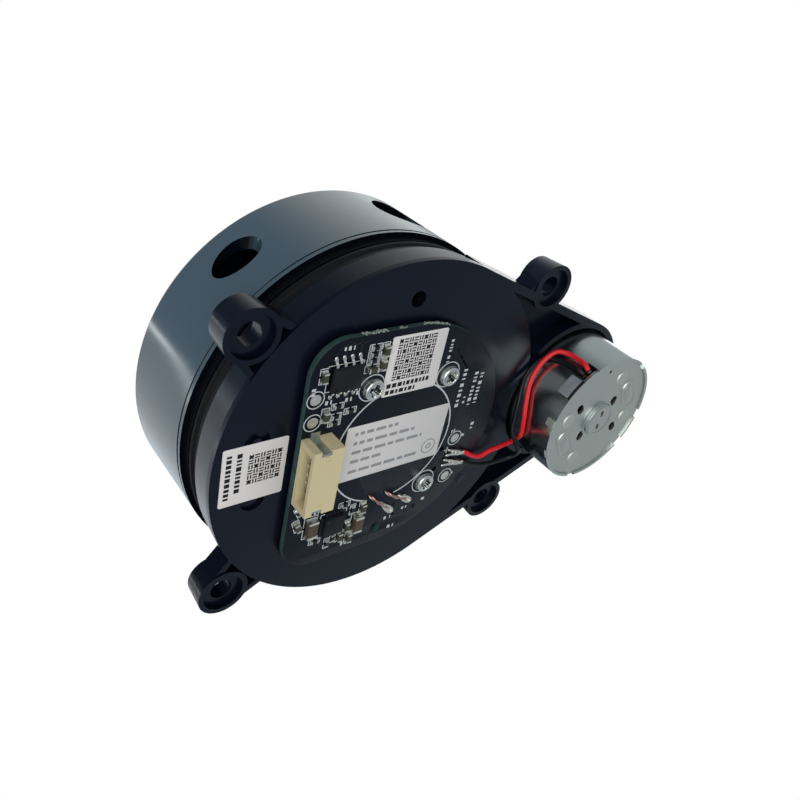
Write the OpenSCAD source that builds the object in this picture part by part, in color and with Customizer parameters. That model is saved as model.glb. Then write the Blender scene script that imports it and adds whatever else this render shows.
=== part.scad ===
// Spinning triangulation lidar scanner: a belt-driven turret on a teardrop base
// that carries a flat direct-current motor and a control board on its underside.
// Frame: +Z along the spin axis towards the turret, origin on the spin axis at the
// base's underside, +X towards the motor. Lengths in millimetres, angles in degrees.

/* [Base] */
// Radius of the round part of the base at its underside
base_r = 29.5; // [29.2:0.1:29.8]
// Height of the base's side wall
base_h = 5; // [4.9:0.1:5.1]
// Thickness of the round floor
floor_t = 1.6; // [1.4:0.1:1.8]
// Wall thickness of the base
wall_t = 1.4; // [1.2:0.1:1.5]
// Distance from the spin axis to the motor axis
motor_x = 39.1; // [39.0:0.1:39.3]
// Outer radius of the base around the motor
nose_r = 13.9; // [13.8:0.1:14.1]

/* [Mounting ears] */
// X of the two ears away from the motor
ear_back_x = -25.5; // [-25.7:0.1:-25.3]
// X of the two ears beside the motor
ear_front_x = 27.8; // [27.6:0.1:28]
// Half spacing of the ears across the base
ear_y = 21.9; // [21.7:0.1:22.1]
// Outer radius of an ear
ear_r = 4; // [3.9:0.1:4.2]
// Height of an ear
ear_h = 4.3; // [4.1:0.1:4.6]
// Radius of the hole through an ear
ear_hole_r = 1.7; // [1.6:0.05:1.75]

/* [Turret] */
// Outer radius of the turret cover at its lower rim
turret_r = 29.4; // [29.2:0.1:29.5]
// Height of the turret cover's lower rim
turret_z0 = 9.4; // [9.3:0.1:9.5]
// Height of the turret cover's top
turret_z1 = 26.3; // [26.1:0.1:26.8]
// Wall thickness of the turret cover
cover_t = 1.6; // [1.4:0.1:1.7]
// Height of the two optical axes
optic_z = 19.15; // [19:0.05:19.3]
// Direction the sensor looks in, in degrees from +X
look_dir = -86; // [-88:1:-84]
// Sideways offset of the laser axis
laser_off = 19.5; // [19.3:0.1:19.7]
// Sideways offset of the camera axis
camera_off = -7.5; // [-7.7:0.1:-7.3]
// Radius of the laser aperture
laser_hole_r = 3.1; // [3:0.1:3.2]
// Radius of the camera aperture
camera_hole_r = 4.5; // [4.4:0.1:4.6]

/* [Drive] */
// Radius of the belt's centre line on the turret
belt_big_r = 27.9; // [27.8:0.1:28]
// Radius of the belt's centre line on the motor pulley
belt_small_r = 5; // [4.9:0.1:5.1]
// Radius of the round belt's section
belt_t = 0.9; // [0.85:0.05:0.9]
// Height of the belt's centre line
belt_z = 7.3; // [7.2:0.1:7.4]

/* [Motor] */
// Outer radius of the motor's can
can_r = 12.2; // [12.1:0.1:12.3]
// Height of the can's open end, below the base
can_z0 = -9.5; // [-9.7:0.1:-9.4]
// Height of the can's closed face
can_z1 = 2.8; // [2.8:0.05:2.8]

/* [Board] */
// Radius of the board's round side
board_r = 20.3; // [20.1:0.1:20.4]
// Height of the board's outer face, below the base
board_z = -1.5; // [-1.6:0.1:-1.4]
// Board thickness
board_t = 1; // [0.9:0.1:1]

/* [Hidden] */
$fn = 64;

eps = 0.01;
gap = 0.03;   // clearance between neighbouring pieces
cut_h = 20;   // height of a cutter that passes right through

plastic = [0.05, 0.055, 0.065];
shell_grey = [0.2, 0.23, 0.25];
steel = [0.62, 0.66, 0.66];
copper = [0.72, 0.38, 0.2];
ferrite_grey = [0.2, 0.2, 0.21];
chip_black = [0.05, 0.05, 0.055];
matt_black = [0.07, 0.07, 0.075];
board_green = [0.02, 0.2, 0.1];

// direction from either centre to the tangent points of the nose's straight walls
nose_a = acos((base_r - nose_r) / motor_x);
// the same for the belt's straight runs, and their length
belt_a = acos((belt_big_r - belt_small_r) / motor_x);
belt_run = sqrt(pow(motor_x, 2) - pow(belt_big_r - belt_small_r, 2));

// back ears first
ears = [for (x = [ear_back_x, ear_front_x], y = [-ear_y, ear_y]) [x, y]];
back_ears = [ears[0], ears[1]];
front_ears = [ears[2], ears[3]];

// the three board screws stand on one circle
board_screw_pts = [for (a = [-120, -54.5, 50]) polar(13.25, a)];
board_screw_boss_r = 2.1;
board_screw_boss_h = 5.1;
// hole through both the board and the base floor
shared_hole = [17.4, 12.4];
// the two coil leads cross the board here
lead_holes = [[-2.3, 9.7], [0.9, 10]];

// hub of the base, with the pocket that holds the transmitter
hub_r = 11;
hub_pocket_r = 8.6;
hub_pocket_z = 3;
transmitter_ferrite_h = 1.5;

// ball bearing; bearing_r is the circle of the ball centres
bearing_r = 11.75;
bearing_z = 7;
bearing_h = 4;
bearing_bore_r = bearing_r - 1.75;
bearing_rim_r = bearing_r + 1.73;
race_offset = 0.65;
ball_r = 1.19;
ball_angles = [for (i = [0 : 13]) 360 * i / 14];

// turret floor (web), sensor board above it, optics frame on the board
web_z = 9.5;
web_top = web_z + 1.5;
sensor_board_z = 12.2;
sensor_board_t = 1.2;
sensor_board_top = sensor_board_z + sensor_board_t;
sensor_chip_z = sensor_board_top + 0.02;
frame_plate_top = 15;
roof_t = 1.6;
receiver_ferrite_z = 8.75;
// cover bosses, angles from the looking direction
boss_circle_r = 23.5;
boss_angles = [45, -15, 150, -130];
// posts under the sensor board, [x, y] in the look frame
foot_pts = [[22.2, 1.8], [8.6, 6.5], [-16.2, 5]];
laser_barrel_r = 2.9;
lens_barrel_r = 4.2;

// motor
end_cap_z = -8.7;
shaft_r = 1;
shaft_z0 = end_cap_z - 0.5;
shaft_z1 = 10.6;
press_bore_r = shaft_r + 0.002;
motor_screw_pts = [[-8, 0], [8, 0]];
core_z0 = -5.2;
core_h = 6;
pole_angles = [0, 120, 240];

// ---------- helpers ----------
function polar(radius, angle) = [radius * cos(angle), radius * sin(angle)];
function unit(v) = v / norm(v);

module at_motor() {
    translate([motor_x, 0, 0]) children();
}
// look frame: local +Y is the looking direction, local +X is to its right
module look() {
    rotate([0, 0, look_dir - 90]) children();
}
// children at each [x, y] point
module at_each(points, z = 0) {
    for (p = points) translate([p[0], p[1], z]) children();
}
// children at each angle about the local Z axis
module around(angles, radius = 0, z = 0) {
    for (a = angles) rotate([0, 0, a]) translate([radius, 0, z]) children();
}
module at_bosses(z = 0) {
    around([for (a = boss_angles) look_dir + a], boss_circle_r, z) children();
}
// cylinder along the looking direction, from local y0 to y1
module beam(side_off, y0, y1, r1, r2) {
    translate([side_off, y0, optic_z]) rotate([-90, 0, 0])
        cylinder(h = y1 - y0, r1 = r1, r2 = r2 == undef ? r1 : r2);
}
// box given by its low and high corners
module block(low, high) {
    translate(low) cube(high - low);
}
// box that reaches from near to far on the +Y (side 1) or -Y (side -1) side
module side_block(side, near, far, x0, x1, z0, z1) {
    block([x0, min(side * near, side * far), z0], [x1, max(side * near, side * far), z1]);
}
// part of an upright ring
module ring_arc(start, span, inner_r, z, thick, height) {
    rotate([0, 0, start]) rotate_extrude(angle = span, $fn = 96)
        translate([inner_r, z]) square([thick, height]);
}
// cross-recessed screw: head below z = 0, shank above
module pan_screw(head_r, head_h, shank_r, shank_l) {
    difference() {
        union() {
            translate([0, 0, -head_h])
                cylinder(h = head_h * 0.4 + eps, r1 = head_r * 0.78, r2 = head_r, $fn = 48);
            translate([0, 0, -head_h * 0.6]) cylinder(h = head_h * 0.6, r = head_r, $fn = 48);
            cylinder(h = shank_l, r = shank_r, $fn = 32);
        }
        around([0, 90]) translate([-head_r * 0.62, -head_r * 0.12, -head_h - eps])
            cube([head_r * 1.24, head_r * 0.24, head_h * 0.55]);
    }
}
// Catmull-Rom curve through the points
function spline(points, steps) =
    let (last = len(points) - 1)
    concat([for (i = [0 : last - 1], k = [0 : steps - 1])
        let (
            t = k / steps,
            before = points[max(i - 1, 0)],
            from = points[i],
            to = points[i + 1],
            after = points[min(i + 2, last)]
        )
        0.5 * ((2 * from) + (to - before) * t
            + (2 * before - 5 * from + 4 * to - after) * t * t
            + (3 * from - before - 3 * to + after) * t * t * t)],
    [points[last]]);
// normals carried along a curve without twist, starting from the given one
function carry(tangents, i, normal) =
    i == len(tangents) ? [] :
    let (next = unit(normal - (normal * tangents[i]) * tangents[i]))
    concat([next], carry(tangents, i + 1, next));
// round stiff wire swept along a curve
module wire(points, radius) {
    sides = 10;
    path = spline(points, 4);
    count = len(path);
    tangents = [for (i = [0 : count - 1])
        unit(path[min(i + 1, count - 1)] - path[max(i - 1, 0)])];
    start_ref = abs(tangents[0][2]) > 0.85 ? [1, 0, 0] : [0, 0, 1];
    normals = carry(tangents, 0, cross(tangents[0], start_ref));
    vertices = [for (i = [0 : count - 1], k = [0 : sides - 1])
        path[i] + radius * (cos(360 * k / sides) * normals[i]
            + sin(360 * k / sides) * cross(tangents[i], normals[i]))];
    start_face = [for (k = [0 : sides - 1]) k];
    side_faces = [for (i = [0 : count - 2], k = [0 : sides - 1])
        let (next = (k + 1) % sides)
        [i * sides + k, i * sides + next, (i + 1) * sides + next, (i + 1) * sides + k]];
    end_face = [for (k = [sides - 1 : -1 : 0]) (count - 1) * sides + k];
    polyhedron(vertices, concat([start_face], side_faces, [end_face]));
}
// soft wire drawn as a chain of rounded lengths
module cable(points, radius) {
    path = spline(points, 2);
    for (i = [0 : len(path) - 2]) hull() {
        translate(path[i]) sphere(r = radius, $fn = 10);
        translate(path[i + 1]) sphere(r = radius, $fn = 10);
    }
}

// ---------- base ----------
// nose and its straight walls, grown outwards
module nose_outline(grow) {
    round_r = base_r + grow;
    end_r = nose_r + grow;
    centre = [motor_x, 0];
    translate(centre) circle(end_r, $fn = 96);
    polygon([polar(round_r, nose_a), centre + polar(end_r, nose_a),
        centre + polar(end_r, -nose_a), polar(round_r, -nose_a), [0, 0]]);
}
// four-sided shape along direction a, from an ear (near) to the round wall (far)
function back_web(a, near_r, half_w, far_r, spread) = [
    polar(near_r, a) + polar(half_w, a + 90),
    polar(near_r, a) + polar(half_w, a - 90),
    polar(far_r, a - spread),
    polar(far_r, a + spread)];
// ear post with the web that joins it to the base
module ear_solid(p) {
    a = atan2(p[1], p[0]);
    half_w = 3.6;
    inner = p - polar(4.5, a);
    inner_half_w = half_w * 0.9;
    front_web = [p + polar(half_w, a + 90), p + polar(half_w, a - 90),
        inner - polar(inner_half_w, a + 90), inner + polar(inner_half_w, a + 90)];
    translate([p[0], p[1], 0]) cylinder(h = ear_h, r1 = ear_r, r2 = ear_r - 0.3);
    translate([0, 0, 0.2]) linear_extrude(ear_h - 0.7)
        polygon(p[0] < 0 ? back_web(a, norm(p), 3.7, base_r - 1.2, 9.8) : front_web);
}
module base_body() {
    foot_h = 0.8;
    // round part, tapering above its foot
    cylinder(h = foot_h, r = base_r, $fn = 128);
    translate([0, 0, foot_h - eps])
        cylinder(h = base_h - foot_h + eps, r1 = base_r, r2 = base_r - 0.42, $fn = 128);
    linear_extrude(base_h) nose_outline(-0.02);
    for (p = ears) ear_solid(p);
    // hub that carries the bearing
    cylinder(h = bearing_z - bearing_h / 2 - 0.05, r = hub_r);
    cylinder(h = bearing_z + 1.9, r = bearing_bore_r - 0.02);
    at_each(board_screw_pts, board_z + board_t)
        cylinder(h = board_screw_boss_h, r = board_screw_boss_r);
}
// hollow above the floor, around the hub, the screw bosses and the motor deck
module floor_hollow() {
    difference() {
        translate([0, 0, floor_t]) cylinder(h = base_h, r = base_r - wall_t - 0.3, $fn = 128);
        cylinder(h = cut_h, r = hub_r);
        at_each(board_screw_pts, -1) cylinder(h = board_screw_boss_h, r = board_screw_boss_r);
        at_motor() cylinder(h = base_h - 0.2, r = nose_r);
    }
}
// lowers the motor deck a little below the rim
module deck_step() {
    translate([0, 0, base_h - 0.2]) intersection() {
        linear_extrude(2) nose_outline(-wall_t);
        difference() {
            translate([0, -40, 0]) cube([60, 80, 2]);
            cylinder(h = 8, r = base_r - 0.4, center = true, $fn = 128);
        }
    }
}
// pocket under the nose, between the round wall and the motor ring
module nose_pocket() {
    difference() {
        translate([0, 0, -eps]) linear_extrude(can_z1 + 0.02 + eps) nose_outline(-wall_t);
        translate([0, 0, -1]) cylinder(h = 9, r = base_r - 0.3, $fn = 128);
        at_motor() translate([0, 0, -1]) cylinder(h = 9, r = nose_r - 0.02);
        at_each(front_ears, -1) cylinder(h = 9, r = ear_r);
    }
}
// can recess, boss hole and screw holes
module motor_seat_cuts() {
    at_motor() {
        translate([0, 0, -1]) cylinder(h = 1 + can_z1 + 0.02, r = 12.8, $fn = 96);
        cylinder(h = cut_h, r = 3.1);
        at_each(motor_screw_pts) cylinder(h = cut_h, r = 1.15, $fn = 32);
    }
}
// through hole in each ear, widened at both faces
module ear_cuts() {
    at_each(ears) {
        translate([0, 0, -1]) cylinder(h = 1.85, r = 3.2);
        translate([0, 0, -1]) cylinder(h = cut_h, r = ear_hole_r);
        translate([0, 0, ear_h - 1.05]) cylinder(h = 5, r = 3.05);
    }
}
// pocket under the web of each back ear
module back_web_pockets() {
    for (p = back_ears) translate([0, 0, -1]) difference() {
        linear_extrude(3.2)
            polygon(back_web(atan2(p[1], p[0]), norm(p) - 1, 2.7, base_r - 1, 7.9));
        translate([p[0], p[1], -1]) cylinder(h = 9, r = ear_r);
        translate([0, 0, -1]) cylinder(h = 9, r = base_r, $fn = 128);
    }
}
module hub_and_floor_holes() {
    // transmitter pocket, its deeper middle and the data link's hole
    translate([0, 0, hub_pocket_z]) cylinder(h = cut_h, r = hub_pocket_r);
    translate([0, 0, floor_t]) cylinder(h = cut_h, r = 7);
    translate([0, 0, -2]) cylinder(h = cut_h, r = 3.2);
    // board screw pilots
    at_each(board_screw_pts, -2) cylinder(h = 5.2, r = 0.87, $fn = 32);
    // two round holes in the floor
    at_each([[-0.25, -23.7]], -1) cylinder(h = 6, r = 1.25, $fn = 32);
    at_each([shared_hole], -1) cylinder(h = 6, r = 1.2, $fn = 32);
    // shallow ring marks, partly under the label
    at_each([[-23, -5.4], [-22.6, 4.7]], -1) difference() {
        cylinder(h = 1.5, r = 1.9, $fn = 48);
        cylinder(h = 4, r = 0.7, $fn = 32);
    }
    // slot where the coil leads pass the floor
    block([-3.4, 9, -3], [4, 10.4, hub_pocket_z + 0.02]);
}
module base_housing() {
    color(plastic) difference() {
        base_body();
        floor_hollow();
        deck_step();
        nose_pocket();
        motor_seat_cuts();
        ear_cuts();
        back_web_pockets();
        hub_and_floor_holes();
    }
}

// ---------- control board on the underside ----------
// parts on the board's outer face start here and reach down
part_z = board_z - 0.02;

// half disc on the +X side, rounded rectangle on the -X side
module board_outline() {
    corner_r = 5.5;
    left_x = -17.2;
    overlap = 0.001;
    intersection() {
        circle(board_r, $fn = 128);
        translate([0, -30]) square([60, 60]);
    }
    translate([left_x + corner_r, -board_r])
        square([-left_x - corner_r + overlap, 2 * board_r]);
    translate([left_x, -board_r + corner_r])
        square([corner_r + overlap, 2 * board_r - 2 * corner_r]);
    for (side = [-1, 1])
        translate([left_x + corner_r, side * (board_r - corner_r)]) circle(corner_r);
}
module control_board() {
    color([0.03, 0.05, 0.045]) difference() {
        translate([0, 0, board_z]) linear_extrude(board_t) board_outline();
        at_each(concat(board_screw_pts, [shared_hole]), -3) cylinder(h = 4, r = 1.05, $fn = 32);
        at_each(lead_holes, -3) cylinder(h = 4, r = 0.55, $fn = 32);
        at_each([[0.4, 17.4]], -3) cylinder(h = 4, r = 0.9, $fn = 32);
    }
}
module board_screws() {
    color(steel) at_each(board_screw_pts, board_z - eps)
        pan_screw(head_r = 1.65, head_h = 1.1, shank_r = 0.85, shank_l = 4.4);
}

// side-entry wire connector, mouth towards -X
socket_h = 3.6;
pin_ys = [for (i = [0 : 5]) -3.35 + 1.5 * i];
pin_half_w = 0.25;

module plug_socket() {
    mark_pts = [[-14.9, -4.3], [-14.4, -3.6], [-14.8, 4.4]];
    color([0.86, 0.82, 0.66]) difference() {
        block([-17.1, -5.3, part_z - socket_h], [-12.2, 6.1, part_z]);
        // mouth
        block([-18, -4.2, part_z - 3.0], [-13.4, 5.0, part_z - 0.7]);
        // end slots that hold the solder tabs
        block([-15.9, -6, part_z - 3.7], [-14.2, -4.45, part_z + 1]);
        block([-15.9, 5.25, part_z - 3.7], [-14.2, 7, part_z + 1]);
        // shallow marks in the outer face
        at_each(mark_pts, part_z) block([-0.3, -0.14, -4], [0.3, 0.14, 0.1 - socket_h]);
        // pin holes in the back wall
        for (y = pin_ys) block([-13.6, y - 0.3, part_z - 1.95], [-12, y + 0.3, part_z - 1.4]);
    }
}
// one box of a pin
module pin_length(x0, x1, z0, z1) {
    block([x0, -pin_half_w, z0], [x1, pin_half_w, z1]);
}
module socket_pins() {
    bend_x = -12.05;
    color([0.75, 0.72, 0.6]) for (y = pin_ys) translate([0, y, part_z]) {
        pin_length(-16.4, -11.6, -1.9, -1.45);
        pin_length(bend_x, -11.6, -1.9, -eps);
        pin_length(bend_x, -10.7, -0.22, -eps);
    }
}
module socket_solder_tabs() {
    // rows: y, side
    tabs = [[-4.5, -1], [5.3, 1]];
    color(steel) for (tab = tabs) translate([0, tab[0], part_z]) {
        side_block(tab[1], 0, 0.35, -15.85, -14.25, -3.52, -eps);
        side_block(tab[1], 0, 1.7, -15.8, -14.3, -0.25, -eps);
    }
}

driver_pt = [-11.7, -14.45];

module driver_chip() {
    color([0.06, 0.06, 0.065]) at_each([driver_pt], board_z - 0.98) difference() {
        translate([-2.45, -1.95, 0]) cube([4.9, 3.9, 0.86]);
        // corner dot
        translate([-1.9, 1.4, -eps]) cylinder(h = 0.06, r = 0.3, $fn = 24);
    }
}
module driver_chip_leads() {
    pitch = 1.27;
    half_w = 0.2;
    // rows: near and far distance from the chip's middle, low and high Z from the board
    bends = [[1.97, 2.45, -0.62, -0.46], [2.27, 2.45, -0.6, -0.02], [2.27, 3.15, -0.2, -0.02]];
    color(steel) for (i = [0 : 3], side = [-1, 1])
        translate([driver_pt[0] + (i - 1.5) * pitch, driver_pt[1], board_z])
            for (b = bends) side_block(side, b[0], b[1], -half_w, half_w, b[2], b[3]);
}
module controller_chip() {
    chip_z = board_z - 0.85;
    color(chip_black) difference() {
        block([-10.6, 11.2, chip_z], [-7.1, 14.7, part_z]);
        // corner dot
        translate([-10.1, 11.7, chip_z - eps]) cylinder(h = 0.06, r = 0.2, $fn = 24);
    }
}
// two-terminal chip parts on the board's outer face; rows are x, y, angle
module chips(rows, size) {
    for (row = rows) translate([row[0], row[1], board_z - size[2]]) rotate([0, 0, row[2]])
        translate([-size[0] / 2, -size[1] / 2, 0]) cube(size);
}
module chip_resistors() {
    rows = [[-7.4, -18.2, 0], [-7.4, -17.15, 0], [-7.4, -16.1, 0], [-12, -9.65, 0],
        [-12.1, -7.95, 0], [-12.1, -6.85, 0], [-9.7, -8.4, 0], [-7.1, 9.8, 0],
        [-5.3, 11.4, 90], [-15.5, 8.4, 60], [-11.6, 15.7, 0], [-8.2, 16.2, 90],
        [-9.2, 17, 90]];
    color([0.08, 0.08, 0.09]) chips(rows, [1.3, 0.65, 0.36]);
}
module chip_capacitors() {
    rows = [[-15.2, -15.1, 90], [-13.9, -8.5, 90], [-7.4, -14.8, 0], [-5.6, -17.5, 90],
        [-5.7, -15.3, 90], [-15.4, 11.2, 70], [-7, 16.3, 90], [-5.9, 14.6, 90],
        [-5.1, 17.2, 90], [-3.4, 11.6, 90]];
    color([0.6, 0.5, 0.36]) chips(rows, [1.65, 0.8, 0.75]);
}
// two larger chip capacitors beside the controller
module filter_capacitors() {
    low_z = board_z - 1.1;
    color([0.62, 0.56, 0.36]) {
        block([-13.8, 10.6, low_z], [-12.1, 13.9, part_z]);
        block([-4.9, 12.8, low_z], [-3.3, 16, part_z]);
    }
}
module test_pads() {
    pad_pts = [[-15.85, -11.5], [-15.75, -7.75], [13.2, 2.6], [13.4, 10.5]];
    color([0.85, 0.87, 0.86]) at_each(pad_pts, board_z - 0.07)
        cylinder(h = 0.06, r = 0.85, $fn = 32);
}

// rounded sheet just below a face, given by two corners
module label(low, high, corner_r, face_z) {
    size = high - low;
    translate([0, 0, face_z - 0.14]) linear_extrude(0.12) {
        translate(low + [corner_r, 0]) square([size[0] - 2 * corner_r, size[1]]);
        translate(low + [0, corner_r]) square([size[0], size[1] - 2 * corner_r]);
        for (x = [low[0] + corner_r, high[0] - corner_r],
             y = [low[1] + corner_r, high[1] - corner_r])
            translate([x, y]) circle(corner_r);
    }
}
module base_label() {
    color("white") label([-28, -5.4], [-18.15, 4.5], corner_r = 0.3, face_z = 0);
}
module board_label() {
    color("white") label([-4.65, -19.3], [5.35, -9.35], corner_r = 0.3, face_z = board_z);
}
module rating_label() {
    color([0.9, 0.9, 0.9]) label([-9.4, -5.2], [9.7, 4.9], corner_r = 0.5, face_z = board_z);
}

// ---------- motor, fixed half ----------
module motor_can() {
    can_h = can_z1 - can_z0;
    color(steel) at_motor() difference() {
        union() {
            translate([0, 0, can_z0]) cylinder(h = can_h, r = can_r, $fn = 96);
            cylinder(h = can_z1 + 1.4, r = 3);
        }
        translate([0, 0, can_z0 - 1]) cylinder(h = can_h + 1 - 0.6, r = can_r - 0.5, $fn = 96);
        translate([0, 0, -1]) cylinder(h = cut_h, r = 2.5);
        at_each(motor_screw_pts) cylinder(h = cut_h, r = 1.02, $fn = 32);
        // notches round the open rim
        around([-52, 8, 38, 98, 158, 218], can_r - 1.5, can_z0 - 1)
            translate([0, -0.9, 0]) cube([3, 1.8, 1.42]);
        // openings for the brush holder and for the two wires
        ring_arc(-149, 18, can_r - 1.4, can_z0 - 1, 4, 3.7);
        ring_arc(-129.6, 14.6, can_r - 1.4, can_z0 - 1, 4, 3.4);
    }
}
// round-ended slot cutter through the end cap
module cap_slot(x, y, angle, length, width) {
    straight = length - width;
    translate([x, y, can_z0 - 2]) rotate([0, 0, angle]) {
        translate([-straight / 2, -width / 2, 0]) cube([straight, width, 4]);
        for (side = [-1, 1]) translate([side * straight / 2, 0, 0])
            cylinder(h = 4, r = width / 2, $fn = 24);
    }
}
module motor_end_cap() {
    // rows: x, y, angle, length, width
    slots = [
        [-5.8, -3.2, 58, 2.1, 1.4], [5.8, 3.2, 58, 2.1, 1.4],
        [3, -2.9, 100, 2.1, 1.5], [-3, 2.9, 100, 2.1, 1.5],
        [0, -1.35, 75, 1.3, 0.65], [0, 1.35, 75, 1.3, 0.65]];
    color(steel) at_motor() difference() {
        union() {
            translate([0, 0, end_cap_z - 0.5]) cylinder(h = 0.5, r = can_r - 0.53, $fn = 96);
            translate([0, 0, end_cap_z - 1.2]) cylinder(h = 1.15, r1 = 2.95, r2 = 3.3);
            // raised dimples and long pads
            around([-170, 10, -70, 110], 8.2, end_cap_z - 0.68)
                cylinder(h = 0.3, r = 1.15, $fn = 32);
            around([-29, 151], 7.7, end_cap_z - 0.7) {
                block([-0.95, -1.3, 0], [0.95, 1.3, 0.4]);
                at_each([[0, -1.3], [0, 1.3]]) cylinder(h = 0.4, r = 0.95, $fn = 32);
            }
        }
        translate([0, 0, end_cap_z - 0.6]) cylinder(h = 2, r = 2.05);
        for (s = slots) cap_slot(s[0], s[1], s[2], s[3], s[4]);
        translate([-1.3, -9.8, -20]) cylinder(h = 20, r = 0.3, $fn = 24);
    }
}
module motor_magnets() {
    span = 130;
    color([0.18, 0.18, 0.19]) at_motor() for (middle = [0, 180])
        ring_arc(middle - span / 2, span, 9.9, -5.6, 1.75, 6.8);
}
// sleeve round the shaft
module bushing(z, height, outer_r) {
    difference() {
        translate([0, 0, z]) cylinder(h = height, r = outer_r);
        translate([0, 0, -20]) cylinder(h = 40, r = shaft_r + gap, $fn = 48);
    }
}
module motor_bushings() {
    color([0.7, 0.55, 0.35]) at_motor() {
        bushing(1.6, 2.5, 2.47);
        bushing(end_cap_z - 0.57, 1.5, 2.02);
    }
}
module motor_brushes() {
    color([0.8, 0.55, 0.3]) at_motor() around([25, 205]) {
        block([-5.5, 2.28, -7.4], [1.2, 2.5, -6.5]);
        block([-5.5, 2.28, -8.35], [-5, 3.4, -6.5]);
    }
}
// moulded brush holder that fills an opening in the can's side
module motor_terminal_block() {
    color([0.12, 0.12, 0.13]) at_motor() rotate([0, 0, -148.7]) difference() {
        ring_arc(0, 17.4, can_r - 0.48, can_z0 + 0.35, 0.8, 2.2);
        rotate([0, 0, 5]) translate([can_r, -0.5, can_z0 + 0.8]) cube([2, 2.2, 1.1]);
    }
}
module motor_terminals() {
    color([0.8, 0.7, 0.45]) at_motor() around([-120, -125.8])
        block([can_r - 2.2, -0.35, can_z0 + 1.15], [can_r - 0.55, 0.35, can_z0 + 1.4]);
}
module motor_mount_screws() {
    color(steel) at_motor() at_each(motor_screw_pts, base_h - 0.19 - eps) rotate([180, 0, 0])
        pan_screw(head_r = 1.75, head_h = 1.1, shank_r = 1, shank_l = 2.9);
}

// ---------- wires ----------
// [x, y, z] points from the board to the motor
red_path = [
    [16.4, 6.2, -2.02], [18.4, 7.4, -2.1], [20.1, 7.8, -2.2], [22, 7, -2.4],
    [24.4, 6.9, -2.3], [27.6, 6.4, -2.3], [26.8, 3.8, -3.9], [26.3, 0.8, -3.9],
    [26.3, -1.3, -3.4], [26.6, -3, -2.8], [27.1, -5, -2.1], [27.8, -7, -1.75],
    [29.3, -9.4, -1.75], [31, -11.05, -2.4], [32.15, -11.3, -4.0], [32.6, -11.25, -6],
    [32.65, -11.1, -7.3], [32.8, -10.5, -8.2]];
black_path = [
    [16.8, 8.35, -1.98], [18.4, 9.2, -2.05], [21.5, 10.2, -2.1], [25, 10.5, -2.1],
    [27.7, 9.6, -2.9], [27.4, 7.5, -4.1], [26, 5.2, -3.9], [25.4, 3.5, -3.1],
    [25.4, 1.6, -2.7], [25.6, -1.3, -2.3], [26, -3, -1.75], [26.7, -4.9, -1.05],
    [27.5, -6.3, -0.6], [28.9, -7.9, -0.52], [30.35, -9.25, -1.05], [31.25, -9.95, -3.2],
    [31.5, -10.2, -5.8], [31.55, -10.3, -7.2], [31.95, -9.9, -8.15]];
// the part of each coil lead below its hole, to its joint on the board
lead_tails = [
    [[-2.0, 9.8, -2.2], [-0.6, 11.1, -2.25], [0.6, 12.3, -1.95]],
    [[1.2, 10.2, -2.2], [2.6, 11.2, -2.25], [4, 12.1, -1.95]]];
// the two ends of each solder joint
joints = [
    [[12.9, 5.15], [14.9, 5.75]], [[12.4, 7.05], [15.1, 7.85]],
    [[1.1, 12.7], [2.5, 13.7]], [[4.6, 12.3], [5.9, 13.2]]];

module motor_wire_red() {
    color([0.75, 0.05, 0.07]) cable(red_path, 0.47);
}
module motor_wire_black() {
    color([0.04, 0.04, 0.045]) cable(black_path, 0.42);
}
module coil_leads() {
    color(copper) for (i = [0, 1]) {
        hole = lead_holes[i];
        wire(concat([[hole[0], hole[1], 2.6], [hole[0], hole[1], -0.8]], lead_tails[i]), 0.28);
    }
}
// tinned wire ends: a bar with a half-round blob at each end
module solder_joints() {
    color([0.8, 0.82, 0.82]) for (joint = joints) {
        run = joint[1] - joint[0];
        at_each(joint, part_z) difference() {
            scale([1, 1, 0.8]) sphere(r = 0.62, $fn = 32);
            block([-1, -1, 0], [1, 1, 1]);
        }
        at_each([joint[0]], board_z - 0.45) rotate([0, 0, atan2(run[1], run[0])])
            translate([0, -0.38, 0]) cube([norm(run), 0.76, 0.42]);
    }
}

// ---------- power and data link ----------
// flat ring on the spin axis
module disc_ring(z, height, outer_r, inner_r) {
    difference() {
        translate([0, 0, z]) cylinder(h = height, r = outer_r);
        cylinder(h = cut_h, r = inner_r);
    }
}
module transmitter_ferrite() {
    color(ferrite_grey) disc_ring(hub_pocket_z + gap, transmitter_ferrite_h, 8.5, 2.6);
}
module transmitter_coil() {
    color(copper) disc_ring(hub_pocket_z + transmitter_ferrite_h + 2 * gap, 2.2, 8.2, 3.2);
}
module receiver_ferrite() {
    color(ferrite_grey)
        disc_ring(receiver_ferrite_z, web_z - gap - receiver_ferrite_z, 8.2, 2.2);
}
module receiver_coil() {
    coil_z = 7.5;
    color(copper) disc_ring(coil_z, receiver_ferrite_z - gap - coil_z, 8, 3.2);
}
module data_receiver() {
    color([0.12, 0.1, 0.12]) {
        translate([0, 0, board_z + board_t + gap]) cylinder(h = 2.2, r = 1.6);
        translate([0, 0, 1.6]) sphere(r = 1.4, $fn = 32);
    }
}
module data_led() {
    color([0.5, 0.5, 0.6]) translate([0, 0, 8]) {
        cylinder(h = 4.15, r = 1.5);
        sphere(r = 1.2, $fn = 32);
    }
}

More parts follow.
